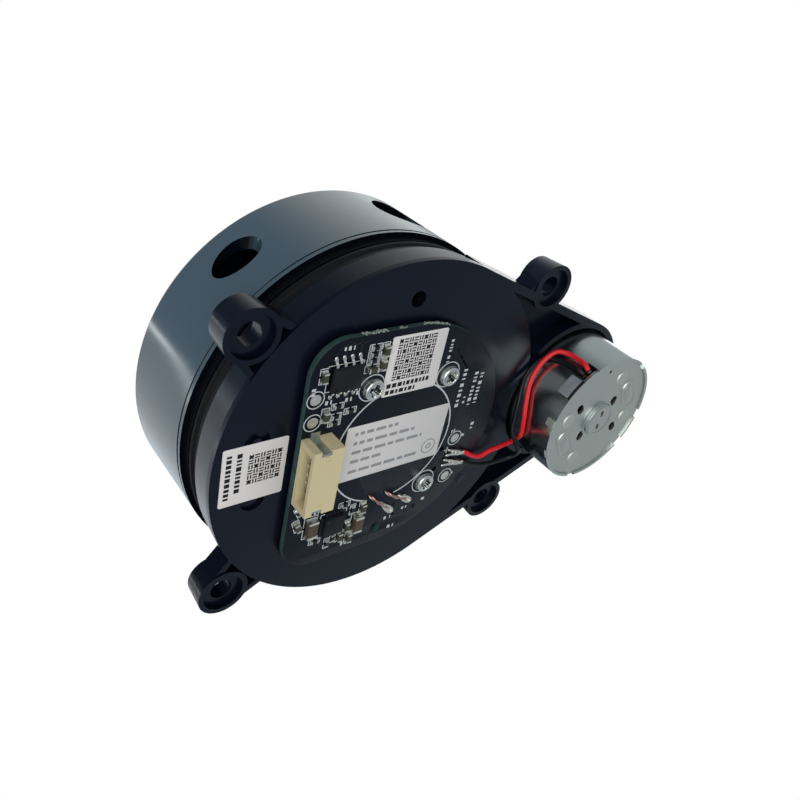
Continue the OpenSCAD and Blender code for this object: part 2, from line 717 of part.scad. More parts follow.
// ---------- bearing ----------
// ring with the ball track cut in
module race(inner_r, outer_r) {
    rotate_extrude($fn = 96) difference() {
        translate([inner_r, bearing_z - bearing_h / 2]) square([outer_r - inner_r, bearing_h]);
        translate([bearing_r, bearing_z]) circle(r = ball_r + gap, $fn = 48);
    }
}
module bearing_inner_race() {
    color(steel) race(bearing_bore_r, bearing_r - race_offset);
}
module bearing_outer_race() {
    color(steel) race(bearing_r + race_offset, bearing_rim_r);
}
module bearing_cage() {
    color([0.75, 0.6, 0.35]) difference() {
        rotate_extrude($fn = 96) translate([bearing_r - 0.42, bearing_z - 1.45])
            square([0.84, 2.9]);
        around(ball_angles, bearing_r, bearing_z) sphere(r = ball_r + 0.04, $fn = 32);
    }
}
module bearing_balls() {
    color(steel) around(ball_angles, bearing_r, bearing_z) sphere(r = ball_r, $fn = 32);
}

// ---------- drive ----------
module belt_section(wheel_r) {
    translate([wheel_r, 0]) circle(r = belt_t, $fn = 32);
}
// profile of the belt groove in a wheel, open outwards
module belt_groove(wheel_r) {
    groove_r = belt_t + 0.08;
    translate([wheel_r, belt_z]) circle(r = groove_r, $fn = 48);
    translate([wheel_r, belt_z - groove_r]) square([2, 2 * groove_r]);
}
module drive_belt() {
    color(matt_black) {
        translate([0, 0, belt_z]) rotate([0, 0, belt_a])
            rotate_extrude(angle = 360 - 2 * belt_a, $fn = 128) belt_section(belt_big_r);
        translate([motor_x, 0, belt_z]) rotate([0, 0, -belt_a])
            rotate_extrude(angle = 2 * belt_a, $fn = 64) belt_section(belt_small_r);
        // straight runs, reaching a little into both bends
        for (side = [-1, 1]) at_each([polar(belt_big_r, side * belt_a)], belt_z)
            rotate([0, 0, side * (belt_a - 90)]) rotate([0, 90, 0]) translate([0, 0, -0.3])
                cylinder(h = belt_run + 0.6, r = belt_t - 0.03, $fn = 32);
    }
}
// pulley ring, web and bearing seat of the turret
module rotor_base() {
    ring_r = 25.8;
    ring_z = 5.6;
    post_z = web_top - 0.1;
    color([0.06, 0.065, 0.075]) difference() {
        union() {
            rotate_extrude($fn = 128) {
                difference() {
                    translate([ring_r, ring_z]) square([2.8, turret_z0 - ring_z - gap]);
                    belt_groove(belt_big_r);
                }
                translate([1.7, web_z]) square([25.9, web_top - web_z]);
                // joins the pulley ring to the web
                translate([ring_r, 9.2]) square([1.8, 0.5]);
                // wall and lip round the bearing
                translate([bearing_rim_r + gap, 4.9]) square([1.9, 4.8]);
                translate([bearing_r + 1.3, 9.05]) square([1, 0.5]);
            }
            // posts that hold the sensor board off the web
            look() at_each(foot_pts, post_z)
                cylinder(h = sensor_board_z - gap - post_z, r = 2.1, $fn = 48);
        }
        at_bosses() cylinder(h = cut_h, r = 1.25, $fn = 32);
        look() at_each(foot_pts) cylinder(h = cut_h, r = 1.02, $fn = 32);
        // ring of round windows in the web
        around([for (i = [0 : 5]) 60 * i + 12], 18.6, 9) cylinder(h = 3, r = 1.5, $fn = 32);
    }
}
// cover wall and roof, turned from [radius, z] points: up the outside, back down inside
module cover_shell() {
    inner_r = turret_r - cover_t;
    rotate_extrude($fn = 160) polygon([
        [turret_r, turret_z0],
        [turret_r, turret_z0 + 0.5],
        [turret_r - 0.12, turret_z0 + 0.6],
        [turret_r - 0.12, turret_z0 + 0.9],
        [turret_r - 0.02, turret_z0 + 1],
        [turret_r - 0.2, turret_z1 - 0.6],
        [turret_r - 0.38, turret_z1 - 0.18],
        [turret_r - 0.8, turret_z1],
        [0, turret_z1],
        [0, turret_z1 - roof_t],
        [inner_r - 0.9, turret_z1 - roof_t],
        [inner_r - 0.15, turret_z1 - 2.4],
        [inner_r, turret_z0]]);
}
module turret_cover() {
    color(shell_grey) difference() {
        union() {
            cover_shell();
            at_bosses(web_top + gap) cylinder(h = turret_z1 - 12, r = 2.6, $fn = 48);
        }
        look() {
            beam(laser_off, 10, 40, laser_hole_r);
            beam(camera_off, 10, 40, camera_hole_r);
        }
        at_bosses(10) cylinder(h = 8, r = 1.02, $fn = 32);
    }
}
module turret_screws() {
    color(steel) at_bosses(web_z - eps)
        pan_screw(head_r = 1.9, head_h = 1.1, shank_r = 1, shank_l = 6.5);
}

// ---------- sensor inside the turret ----------
module sensor_board() {
    color(board_green) difference() {
        translate([0, 0, sensor_board_z]) cylinder(h = sensor_board_t, r = 26.8, $fn = 96);
        at_bosses() cylinder(h = cut_h, r = 3, $fn = 48);
        look() at_each(foot_pts) cylinder(h = cut_h, r = 1.1, $fn = 32);
    }
}
module sensor_board_chips() {
    // rows: low x, low y, high x, high y, top z, in the look frame
    rows = [
        [-5, -12, 4, -3, 14.8],
        [-15, -10, -10, -5, 14.4],
        [8, -14, 12, -11, 14.9],
        [8, -8, 11, -4, 14.5],
        [-7, -20, -1, -16, 14.6]];
    color(chip_black) look() for (row = rows)
        block([row[0], row[1], sensor_chip_z], [row[2], row[3], row[4]]);
}
module optics_frame() {
    holder_z = frame_plate_top - 0.1;
    color([0.1, 0.1, 0.11]) look() difference() {
        union() {
            // plate, trimmed to the turret's round
            intersection() {
                block([-18.5, 1, sensor_board_top + gap], [24.5, 14, frame_plate_top]);
                translate([0, 0, 12]) cylinder(h = 20, r = 27, $fn = 96);
            }
            // laser holder and camera holder
            block([laser_off - 3.5, 6, holder_z], [laser_off + 3.5, 14, 22.8]);
            block([camera_off - 5.5, 8, holder_z], [camera_off + 5.5, 16, 24.2]);
        }
        beam(laser_off, 0, 30, laser_barrel_r + gap);
        beam(camera_off, 0, 30, lens_barrel_r + gap);
        at_each(foot_pts) cylinder(h = 40, r = 1.1, $fn = 32);
        // relief for the two cover bosses nearest the looking direction
        around([for (i = [0, 1]) 90 + boss_angles[i]], boss_circle_r)
            cylinder(h = 40, r = 3, $fn = 48);
    }
}
module optics_screws() {
    color(steel) look() at_each(foot_pts, frame_plate_top + 0.02) rotate([180, 0, 0])
        pan_screw(head_r = 1.7, head_h = 1, shank_r = 0.98, shank_l = 5);
}
module laser_barrel() {
    color([0.7, 0.58, 0.3]) look() difference() {
        beam(laser_off, 6.4, 15.3, laser_barrel_r);
        beam(laser_off, 6, 9, 2.35);
        beam(laser_off, 8.9, 13.3, 1.6);
        beam(laser_off, 13.2, 16, 2.25);
    }
}
// flange, can and three legs
module laser_diode() {
    color([0.75, 0.7, 0.5]) look() {
        beam(laser_off, 5.3, 6.35, 2.8);
        beam(laser_off, 6.3, 8.6, 1.9);
        for (a = [0, 120, 240]) translate([laser_off, 0, optic_z]) rotate([0, a, 0])
            translate([0, 2.6, 1.2]) rotate([-90, 0, 0]) cylinder(h = 2.8, r = 0.22, $fn = 16);
    }
}
module laser_lens() {
    color([0.7, 0.85, 0.95]) look() {
        beam(laser_off, 13.35, 14.2, 2.2);
        beam(laser_off, 14.15, 14.6, 2.1, 1.2);
    }
}
module lens_barrel() {
    color(matt_black) look() difference() {
        beam(camera_off, 12, 24, lens_barrel_r);
        beam(camera_off, 11, 21.5, 3);
        beam(camera_off, 21.4, 25, 3.55);
    }
}
module camera_lens() {
    color([0.35, 0.45, 0.7]) look() {
        beam(camera_off, 21.55, 22.4, 3.5);
        beam(camera_off, 22.35, 23, 3.2, 2);
    }
}
module ir_filter() {
    color([0.5, 0.1, 0.15]) look() beam(camera_off, 11.3, 11.9, 3.4);
}
module image_sensor() {
    color([0.15, 0.15, 0.2]) look()
        block([camera_off - 3, 6.3, optic_z - 2.6], [camera_off + 3, 7.2, optic_z + 2.6]);
}
module camera_board() {
    color(board_green) look()
        block([camera_off - 5.4, 5.2, frame_plate_top + gap], [camera_off + 5.4, 6.27, 24]);
}

// ---------- motor, turning half ----------
module motor_shaft() {
    color(steel) at_motor() translate([0, 0, shaft_z0])
        cylinder(h = shaft_z1 - shaft_z0, r = shaft_r, $fn = 48);
}
module motor_pulley() {
    color([0.85, 0.83, 0.75]) at_motor() rotate_extrude($fn = 96) difference() {
        translate([press_bore_r, 5.55]) square([4.7, 3.5]);
        belt_groove(belt_small_r);
    }
}
module armature_core() {
    core_z1 = core_z0 + core_h;
    color([0.45, 0.45, 0.47]) at_motor() difference() {
        union() {
            translate([0, 0, core_z0]) cylinder(h = core_h, r = 3);
            // arm and curved shoe of each pole
            around(pole_angles) {
                block([0, -1.1, core_z0], [8.6, 1.1, core_z1]);
                intersection() {
                    difference() {
                        translate([0, 0, core_z0]) cylinder(h = core_h, r = 9.5, $fn = 96);
                        translate([0, 0, -6]) cylinder(h = 8, r = 8.2, $fn = 96);
                    }
                    block([4, -6.6, -6], [12, 6.6, 2]);
                }
            }
        }
        translate([0, 0, -6]) cylinder(h = 8, r = press_bore_r, $fn = 48);
    }
}
module armature_windings() {
    color(copper) at_motor() around(pole_angles) difference() {
        block([3.6, -2.3, -6.1], [7.7, 2.3, 1.6]);
        block([3, -1.1 - gap, core_z0 - gap], [9, 1.1 + gap, core_z0 + core_h + gap]);
    }
}
module commutator() {
    color([0.75, 0.5, 0.3]) at_motor() difference() {
        translate([0, 0, -7.45]) cylinder(h = 2.2, r = 2.2);
        translate([0, 0, -9]) cylinder(h = 8, r = press_bore_r, $fn = 48);
        around(pole_angles) block([1.9, -0.12, -9], [3, 0.12, -4]);
    }
}

base_housing();
control_board();
board_screws();
plug_socket();
socket_pins();
socket_solder_tabs();
driver_chip();
driver_chip_leads();
controller_chip();
chip_resistors();
chip_capacitors();
filter_capacitors();
test_pads();
base_label();
board_label();
rating_label();
motor_can();
motor_end_cap();
motor_magnets();
motor_bushings();
motor_brushes();
motor_terminal_block();
motor_terminals();
motor_mount_screws();
motor_wire_red();
motor_wire_black();
coil_leads();
solder_joints();
transmitter_ferrite();
transmitter_coil();
data_receiver();
bearing_inner_race();
drive_belt();
turret_cover();
rotor_base();
bearing_outer_race();
receiver_ferrite();
receiver_coil();
data_led();
sensor_board();
sensor_board_chips();
optics_frame();
optics_screws();
laser_barrel();
laser_diode();
laser_lens();
lens_barrel();
camera_lens();
ir_filter();
image_sensor();
camera_board();
turret_screws();
bearing_cage();
bearing_balls();
motor_shaft();
motor_pulley();
armature_core();
armature_windings();
commutator();
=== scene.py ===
# A laser distance sensor with a spinning turret, seen from its board side.
# The round control board is centred on the Z axis and its open face looks down (-Z), the motor
# stands beside it towards +X, and the camera looks up at the board from -X, -Y.
# Meshes are written in millimetres and built in metres; the studio is in metres.
import bpy
import bmesh
import math
import random
from mathutils import Vector, Matrix

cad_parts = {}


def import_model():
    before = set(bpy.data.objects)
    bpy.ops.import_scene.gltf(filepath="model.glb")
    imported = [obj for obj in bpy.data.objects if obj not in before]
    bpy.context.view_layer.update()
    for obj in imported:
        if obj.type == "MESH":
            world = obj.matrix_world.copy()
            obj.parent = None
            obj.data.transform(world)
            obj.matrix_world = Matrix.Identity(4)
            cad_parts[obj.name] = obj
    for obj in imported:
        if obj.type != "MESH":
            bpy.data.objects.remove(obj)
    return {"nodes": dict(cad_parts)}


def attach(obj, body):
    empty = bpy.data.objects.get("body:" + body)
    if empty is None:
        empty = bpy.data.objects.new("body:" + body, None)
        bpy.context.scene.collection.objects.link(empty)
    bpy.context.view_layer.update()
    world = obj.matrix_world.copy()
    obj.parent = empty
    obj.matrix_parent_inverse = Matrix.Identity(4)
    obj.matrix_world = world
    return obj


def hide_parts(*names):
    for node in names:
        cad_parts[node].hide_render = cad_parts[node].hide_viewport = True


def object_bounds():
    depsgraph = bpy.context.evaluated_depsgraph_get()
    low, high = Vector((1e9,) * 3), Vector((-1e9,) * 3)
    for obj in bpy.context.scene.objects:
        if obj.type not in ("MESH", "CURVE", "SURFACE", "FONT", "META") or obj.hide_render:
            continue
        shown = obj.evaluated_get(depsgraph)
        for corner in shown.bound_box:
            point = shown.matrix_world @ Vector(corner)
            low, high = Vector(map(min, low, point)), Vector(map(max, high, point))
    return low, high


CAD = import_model()["nodes"]
cad_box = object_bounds()
scene = bpy.context.scene
MM = 0.001


# ------------------------------------------------------------------ materials
class Graph:
    """Short-hand for building the shader nodes of a material or world."""

    def __init__(self, owner):
        owner.use_nodes = True
        self.tree = owner.node_tree
        self.tree.nodes.clear()

    def add(self, kind, inputs, **settings):
        """Adds a node; an input given as a socket is linked, anything else is its value."""
        node = self.tree.nodes.new("ShaderNode" + kind)
        for key, value in settings.items():
            setattr(node, key, value)
        for key, value in inputs.items():
            if isinstance(value, bpy.types.NodeSocket):
                self.tree.links.new(value, node.inputs[key])
            else:
                node.inputs[key].default_value = value
        return node

    def noise(self, vector, scale, detail, roughness=0.5):
        inputs = {"Vector": vector, "Scale": scale, "Detail": detail, "Roughness": roughness}
        return self.add("TexNoise", inputs).outputs["Fac"]

    def remap(self, value, low, high, start=0.0, end=1.0, **settings):
        """Maps low..high to start..end."""
        inputs = {"Value": value, "From Min": low, "From Max": high, "To Min": start, "To Max": end}
        return self.add("MapRange", inputs, **settings).outputs[0]

    def mix(self, factor, first, second):
        inputs = {"Factor": factor, "A": first, "B": (*second, 1)}
        return self.add("Mix", inputs, data_type="RGBA").outputs["Result"]

    def maths(self, operation, *values):
        return self.add("Math", dict(enumerate(values)), operation=operation).outputs[0]

    def multiply(self, first, *others):
        for other in others:
            first = self.maths("MULTIPLY", first, other)
        return first

    def split(self, vector):
        return self.add("SeparateXYZ", {0: vector}).outputs

    def geometry(self, output):
        return self.add("NewGeometry", {}).outputs[output]


def finish(name, colour, rough, metal=0.0, var=0.2, blotch=90, rough_var=0.12, grain=1500,
           bump=0.1, bump_mm=0.02, stretch=(1, 1, 1), spec=0.5, spec_tint=(1, 1, 1),
           wear=0.0, wear_colour=None, wear_scale=260, transmission=0.0, ior=1.45,
           subsurface=0.0, painted_underside_shade=False, gap_shade_spec=None):
    """Procedural finish: colour blotches, roughness change, fine grain bump, light wear, and optional
    painted shade.

    blotch, grain and wear_scale are noise scales; var and rough_var are how far colour and
    roughness stray; stretch scales the grain by axis; the underside switch darkens faces that look
    down to near-black as painted shade; the gap specular level is the lowered specular of the
    -Y side near the turret gap, painted shade on that side.
    """
    material = bpy.data.materials.new(name)
    graph = Graph(material)
    coords = graph.add("TexCoord", {}).outputs["Object"]
    stretched = graph.add("Mapping", {"Vector": coords, "Scale": stretch}).outputs[0]
    blotches = graph.noise(coords, blotch, detail=4)
    grains = graph.noise(stretched, grain, detail=3, roughness=0.6)
    middle = Vector(colour)
    lighter = [min(1, c * (1 + var) + 0.002 * var) for c in middle]
    surface = graph.mix(blotches, (*middle * (1 - var), 1), lighter)
    if wear:
        patches = graph.noise(coords, wear_scale, detail=6, roughness=0.75)
        mask = graph.add("ValToRGB", {0: patches})
        mask.color_ramp.elements[0].position = 0.62
        mask.color_ramp.elements[1].position = 0.75
        amount = graph.multiply(mask.outputs[0], wear)
        surface = graph.mix(amount, surface, wear_colour)
    if painted_underside_shade:
        # painted shade: faces that look down, under the rim, are darkened to near-black with less
        # specular, standing in for the shade of the turret gap
        normal = graph.split(graph.geometry("True Normal"))
        underside_shade_mask = graph.remap(normal[2], -0.25, -0.6)
        surface = graph.mix(underside_shade_mask, surface, (0.002, 0.003, 0.006))
        spec = graph.remap(underside_shade_mask, 0, 1, spec, 0.12)
    rough_noise = graph.noise(coords, blotch * 2.3, detail=5)
    roughness = graph.remap(rough_noise, 0, 1, max(0.02, rough - rough_var),
                            min(1.0, rough + rough_var))
    relief = graph.add("Bump", {"Strength": bump, "Distance": bump_mm * MM, "Height": grains})
    if gap_shade_spec is not None:
        # painted shade: specular is lowered on faces that look towards -Y near the turret gap, so that
        # side of the housing reads darker
        normal = graph.split(graph.geometry("True Normal"))
        place = graph.split(coords)
        facing = graph.remap(normal[1], -0.2, -0.6)
        near_gap = graph.remap(place[0], 0.026, 0.018)
        spec = graph.remap(graph.multiply(facing, near_gap), 0, 1, spec, gap_shade_spec)
    shader = graph.add("BsdfPrincipled", {
        "Base Color": surface, "Roughness": roughness, "Normal": relief.outputs[0],
        "Metallic": metal, "Specular IOR Level": spec, "Specular Tint": (*spec_tint, 1),
        "Coat Weight": 0.0, "Coat Roughness": 0.12,
        "Transmission Weight": transmission, "IOR": ior, "Subsurface Weight": subsurface,
        "Subsurface Radius": (0.0006, 0.0005, 0.0003), "Subsurface Scale": 1.0})
    graph.add("OutputMaterial", {0: shader.outputs[0]})
    material.diffuse_color = (*colour, 1)
    return material


FINISHES = {
    # its -Y side near the turret gap gets a lowered specular level as painted shade
    "housing_black": dict(
        colour=(0.0022, 0.0034, 0.0092), rough=0.24, grain=2600, bump=0.12, blotch=60, spec=0.34,
        rough_var=0.05, wear=0.03, wear_colour=(0.012, 0.014, 0.02), bump_mm=0.01,
        spec_tint=(0.72, 0.84, 1.0), gap_shade_spec=0.07),
    # its faces that look down are darkened to near-black as painted shade
    "shell_grey": dict(
        colour=(0.042, 0.074, 0.096), rough=0.13, var=0.08, grain=3200, blotch=45, spec=0.55,
        rough_var=0.04, wear=0.05, wear_colour=(0.07, 0.1, 0.125), bump_mm=0.006,
        painted_underside_shade=True),
    "inner_black": dict(
        colour=(0.0035, 0.0042, 0.007), rough=0.5, var=0.15, grain=2000, bump=0.2, spec=0.12),
    "board_mask_black": dict(
        colour=(0.0026, 0.0038, 0.0086), rough=0.3, var=0.25, grain=1800, blotch=120, spec=0.28,
        spec_tint=(0.78, 0.87, 1.0)),
    "board_mask_green": dict(colour=(0.01, 0.09, 0.045), rough=0.32, grain=1800),
    "board_edge_glass": dict(
        colour=(0.03, 0.062, 0.062), rough=0.6, var=0.45, grain=1400, bump=0.4, blotch=500,
        spec=0.3, wear=0.6, wear_colour=(0.09, 0.15, 0.14), wear_scale=1100),
    "board_track": dict(
        colour=(0.0075, 0.0115, 0.017), rough=0.32, grain=1800, blotch=120, spec=0.3),
    "board_ink_white": dict(
        colour=(0.5, 0.54, 0.54), rough=0.65, var=0.1, grain=2500, bump=0.2, wear=0.3,
        wear_colour=(0.2, 0.23, 0.23)),
    "screw_steel": dict(
        colour=(0.74, 0.77, 0.73), rough=0.27, metal=1.0, var=0.08, bump=0.03, rough_var=0.04,
        wear=0.1, wear_colour=(0.5, 0.53, 0.5), bump_mm=0.01),
    "motor_steel": dict(
        colour=(0.55, 0.6, 0.585), rough=0.21, metal=1.0, var=0.08, grain=1700, bump=0.3,
        rough_var=0.07, blotch=120, wear=0.16, wear_colour=(0.36, 0.39, 0.39), bump_mm=0.012,
        stretch=(0.16, 0.16, 1)),
    "motor_cap_zinc": dict(
        colour=(0.6, 0.62, 0.575), rough=0.36, metal=1.0, var=0.05, grain=2200, bump=0.14,
        rough_var=0.05, blotch=110, wear=0.12, wear_colour=(0.48, 0.5, 0.46), bump_mm=0.01),
    # lighter, rougher copy of the cap zinc: on the round pressed pads it is a painted highlight; it also
    # colours the brush holder's folded contact
    "motor_cap_lighter_zinc": dict(
        colour=(0.63, 0.66, 0.61), rough=0.55, metal=1.0, var=0.05, grain=2200, rough_var=0.05,
        blotch=110, wear=0.1, wear_colour=(0.5, 0.54, 0.5), bump_mm=0.01),
    "motor_boss_turned": dict(
        colour=(0.5, 0.55, 0.53), rough=0.3, metal=1.0, var=0.06, grain=2200, rough_var=0.05,
        blotch=160, wear=0.15, wear_colour=(0.4, 0.44, 0.42), bump_mm=0.01),
    "driver_recess_shadow": dict(colour=(0.03, 0.036, 0.038), rough=0.4, metal=1.0),
    "brush_holder_grey": dict(
        colour=(0.2, 0.225, 0.25), rough=0.42, var=0.35, grain=900, bump=0.3, blotch=620,
        wear=0.7, wear_colour=(0.08, 0.085, 0.1), wear_scale=900, bump_mm=0.03),
    "torn_fibre": dict(colour=(0.3, 0.36, 0.33), rough=0.7, var=0.35, bump=0.3, spec=0.3),
    "socket_nylon": dict(
        colour=(0.59, 0.51, 0.31), rough=0.42, var=0.05, grain=1600, bump=0.12, subsurface=0.1,
        spec=0.3, wear=0.08, wear_colour=(0.45, 0.38, 0.24)),
    "contact_tin": dict(colour=(0.75, 0.72, 0.6), rough=0.25, metal=1.0, var=0.1),
    "solder_tab_tin": dict(
        colour=(0.52, 0.56, 0.52), rough=0.36, metal=1.0, grain=1200, bump=0.15),
    "solder_tin": dict(
        colour=(0.86, 0.85, 0.78), rough=0.26, metal=1.0, var=0.1, grain=1100, bump=0.25,
        rough_var=0.1, bump_mm=0.04),
    "chip_epoxy": dict(
        colour=(0.0075, 0.0085, 0.011), rough=0.5, var=0.15, grain=2600, bump=0.3, spec=0.25,
        bump_mm=0.015),
    "resistor_glaze": dict(colour=(0.008, 0.009, 0.012), rough=0.35, grain=1800, spec=0.3),
    "capacitor_brown": dict(
        colour=(0.075, 0.056, 0.036), rough=0.45, grain=1800, bump=0.15, spec=0.3),
    "capacitor_olive": dict(
        colour=(0.05, 0.047, 0.032), rough=0.45, grain=1800, bump=0.15, spec=0.3),
    "label_paper": dict(
        colour=(0.66, 0.64, 0.62), rough=0.62, var=0.04, grain=1800, bump=0.12, spec=0.3,
        wear=0.08, wear_colour=(0.56, 0.54, 0.52)),
    "label_film": dict(
        colour=(0.60, 0.585, 0.57), rough=0.45, var=0.04, spec=0.3, wear=0.05,
        wear_colour=(0.52, 0.5, 0.49)),
    "label_ink": dict(colour=(0.009, 0.009, 0.012), rough=0.55, grain=2000, spec=0.25),
    "label_ink_grey": dict(
        colour=(0.26, 0.265, 0.275), rough=0.55, var=0.15, grain=2000, spec=0.25),
    "wire_red": dict(
        colour=(0.62, 0.01, 0.02), rough=0.3, var=0.12, grain=1200, bump=0.14, spec=0.4),
    "wire_black": dict(
        colour=(0.006, 0.006, 0.009), rough=0.36, var=0.15, grain=1200, bump=0.14, spec=0.3),
    "coil_copper": dict(colour=(0.6, 0.37, 0.32), rough=0.32, metal=1.0, grain=900, bump=0.2),
    "sintered_bronze": dict(
        colour=(0.5, 0.36, 0.18), rough=0.4, metal=1.0, var=0.16, bump=0.3),
    "barrel_brass": dict(
        colour=(0.72, 0.56, 0.26), rough=0.25, metal=1.0, var=0.1, stretch=(1, 1, 6)),
    "sintered_ferrite": dict(colour=(0.035, 0.035, 0.038), rough=0.55, grain=1300, bump=0.35),
    "stamped_steel": dict(
        colour=(0.3, 0.3, 0.31), rough=0.38, metal=1.0, var=0.12, bump=0.15, stretch=(1, 1, 9)),
    "belt_rubber": dict(colour=(0.006, 0.006, 0.008), rough=0.55, bump=0.3, spec=0.15),
    "ground_steel": dict(
        colour=(0.66, 0.67, 0.68), rough=0.14, metal=1.0, var=0.06, grain=1600, bump=0.06,
        rough_var=0.06),
    "pulley_acetal": dict(colour=(0.72, 0.7, 0.62), rough=0.4, var=0.05, grain=1600),
    "lens_glass": dict(
        colour=(0.55, 0.7, 0.85), rough=0.04, var=0.05, transmission=0.8, ior=1.52, grain=900,
        bump=0.0, rough_var=0.02),
    "filter_glass": dict(
        colour=(0.16, 0.02, 0.035), rough=0.05, var=0.05, transmission=0.5, ior=1.5, grain=900,
        bump=0.0, rough_var=0.02),
}
MATERIALS = {name: finish(name, **look) for name, look in FINISHES.items()}

# material: the CAD nodes it covers
CAD_MATERIALS = {
    "housing_black": "base_housing",
    "shell_grey": "turret_cover",
    "inner_black": "motor_terminal_block rotor_base optics_frame lens_barrel",
    "board_mask_black": "control_board",
    "board_mask_green": "sensor_board camera_board",
    "screw_steel": "board_screws motor_mount_screws optics_screws turret_screws",
    "motor_steel": "motor_can",
    "motor_cap_zinc": "motor_end_cap",
    "socket_nylon": "plug_socket",
    "contact_tin": "socket_pins motor_terminals laser_diode",
    "solder_tab_tin": "socket_solder_tabs",
    "solder_tin": "driver_chip_leads test_pads solder_joints",
    "chip_epoxy": "driver_chip controller_chip data_receiver sensor_board_chips image_sensor",
    "resistor_glaze": "chip_resistors",
    "capacitor_brown": "chip_capacitors filter_capacitors",
    "label_paper": "base_label board_label",
    "label_film": "rating_label",
    "wire_red": "motor_wire_red",
    "wire_black": "motor_wire_black",
    "coil_copper": "coil_leads transmitter_coil receiver_coil armature_windings commutator",
    "sintered_bronze": "motor_bushings motor_brushes bearing_cage",
    "barrel_brass": "laser_barrel",
    "sintered_ferrite": "motor_magnets transmitter_ferrite receiver_ferrite",
    "stamped_steel": "armature_core",
    "belt_rubber": "drive_belt",
    "ground_steel": "bearing_inner_race bearing_outer_race bearing_balls motor_shaft",
    "pulley_acetal": "motor_pulley",
    "lens_glass": "data_led laser_lens camera_lens",
    "filter_glass": "ir_filter",
}


def paint_cad():
    material_of = {node: name for name, nodes in CAD_MATERIALS.items() for node in nodes.split()}
    for node, obj in CAD.items():
        material = MATERIALS[material_of[node]]
        if obj.material_slots:
            for slot in obj.material_slots:
                slot.material = material
        else:
            obj.data.materials.append(material)


# ------------------------------------------------------------------ outlines and placing
def at(x, y, z=0.0, turn=0.0):
    """Places a shape at a point, turned about Z by degrees."""
    return Matrix.Translation((x, y, z)) @ Matrix.Rotation(math.radians(turn), 4, "Z")


def polar(radius, degrees):
    angle = math.radians(degrees)
    return radius * math.cos(angle), radius * math.sin(angle)


def span(centre, half):
    return centre - half, centre + half


def lift(points, z):
    return [(x, y, z) for x, y in points]


def arc(x, y, radius, start, end, steps):
    """Points from start to end degrees, both included."""
    turns = (math.radians(start + (end - start) * k / steps) for k in range(steps + 1))
    return [(x + radius * math.cos(t), y + radius * math.sin(t)) for t in turns]


def circle(radius, count):
    return arc(0, 0, radius, 0, 360, count)[:-1]


def hole(x, y, radius, count):
    """Full circle that runs clockwise."""
    return arc(x, y, radius, 0, 360, count)[-2::-1]


def rounded_rect(xs, ys, radius, steps, inset=0.0):
    points = []
    for x, y, start in ((xs[1] - radius, ys[1] - radius, 0), (xs[0] + radius, ys[1] - radius, 90),
                        (xs[0] + radius, ys[0] + radius, 180), (xs[1] - radius, ys[0] + radius, 270)):
        points += arc(x, y, max(radius - inset, 1e-3), start, start + 90, steps)
    return points


def flat_line(x0, y0, x1, y1):
    """Start, end, direction, left-hand normal and turn in degrees of a line in the XY plane."""
    start, end = Vector((x0, y0, 0)), Vector((x1, y1, 0))
    ahead = (end - start).normalized()
    turn = math.degrees(math.atan2(ahead.y, ahead.x))
    return start, end, ahead, Vector((-ahead.y, ahead.x, 0)), turn


def spline(stations, steps):
    """Smooth curve through all the stations (Catmull-Rom)."""
    p = [Vector(station) for station in stations]
    last = len(p) - 1
    points = []
    for i in range(last):
        a, b, c, d = p[max(i - 1, 0)], p[i], p[i + 1], p[min(i + 2, last)]
        for k in range(steps):
            t = k / steps
            points.append(0.5 * ((2 * b) + (c - a) * t + (2 * a - 5 * b + 4 * c - d) * t * t
                                 + (3 * b - a - 3 * c + d) * t ** 3))
    points.append(p[-1])
    return points


def ease(x):
    x = max(0.0, min(1.0, x))
    return x * x * (3 - 2 * x)


# ------------------------------------------------------------------ mesh building
def install(mesh, name, materials, replaced=(), smooth=40):
    for material in materials:
        mesh.materials.append(MATERIALS[material])
    obj = bpy.data.objects.new(name, mesh)
    scene.collection.objects.link(obj)
    if smooth:
        mesh.polygons.foreach_set("use_smooth", [True] * len(mesh.polygons))
        mesh.set_sharp_from_angle(angle=math.radians(smooth))
    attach(obj, "base")
    if replaced:
        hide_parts(*replaced)
    return obj


def clean(mesh, merge=0.0):
    """Merges vertices closer than the given distance and turns the normals outwards."""
    bm = bmesh.new()
    bm.from_mesh(mesh)
    if merge:
        bmesh.ops.remove_doubles(bm, verts=bm.verts, dist=merge)
    bmesh.ops.recalc_face_normals(bm, faces=bm.faces)
    bm.to_mesh(mesh)
    bm.free()


def plate_mesh(name, outlines, zs, rim, rim_steps):
    """Flat part with rounded rims: outer outline counter-clockwise, holes clockwise."""
    curve = bpy.data.curves.new(name, "CURVE")
    curve.dimensions = "2D"
    curve.fill_mode = "BOTH"
    for outline in outlines:
        poly = curve.splines.new("POLY")
        poly.points.add(len(outline) - 1)
        for point, (x, y) in zip(poly.points, outline):
            point.co = (x * MM, y * MM, 0, 1)
        poly.use_cyclic_u = True
    curve.extrude = max(((zs[1] - zs[0]) / 2 - rim), 0) * MM
    curve.bevel_depth = rim * MM
    curve.bevel_resolution = rim_steps
    curve.offset = -rim * MM
    obj = bpy.data.objects.new(name, curve)
    scene.collection.objects.link(obj)
    depsgraph = bpy.context.evaluated_depsgraph_get()
    mesh = bpy.data.meshes.new_from_object(obj.evaluated_get(depsgraph))
    bpy.data.objects.remove(obj)
    mesh.transform(Matrix.Translation((0, 0, (zs[0] + zs[1]) / 2 * MM)))
    mesh.materials.clear()
    clean(mesh, merge=1e-7)
    return mesh


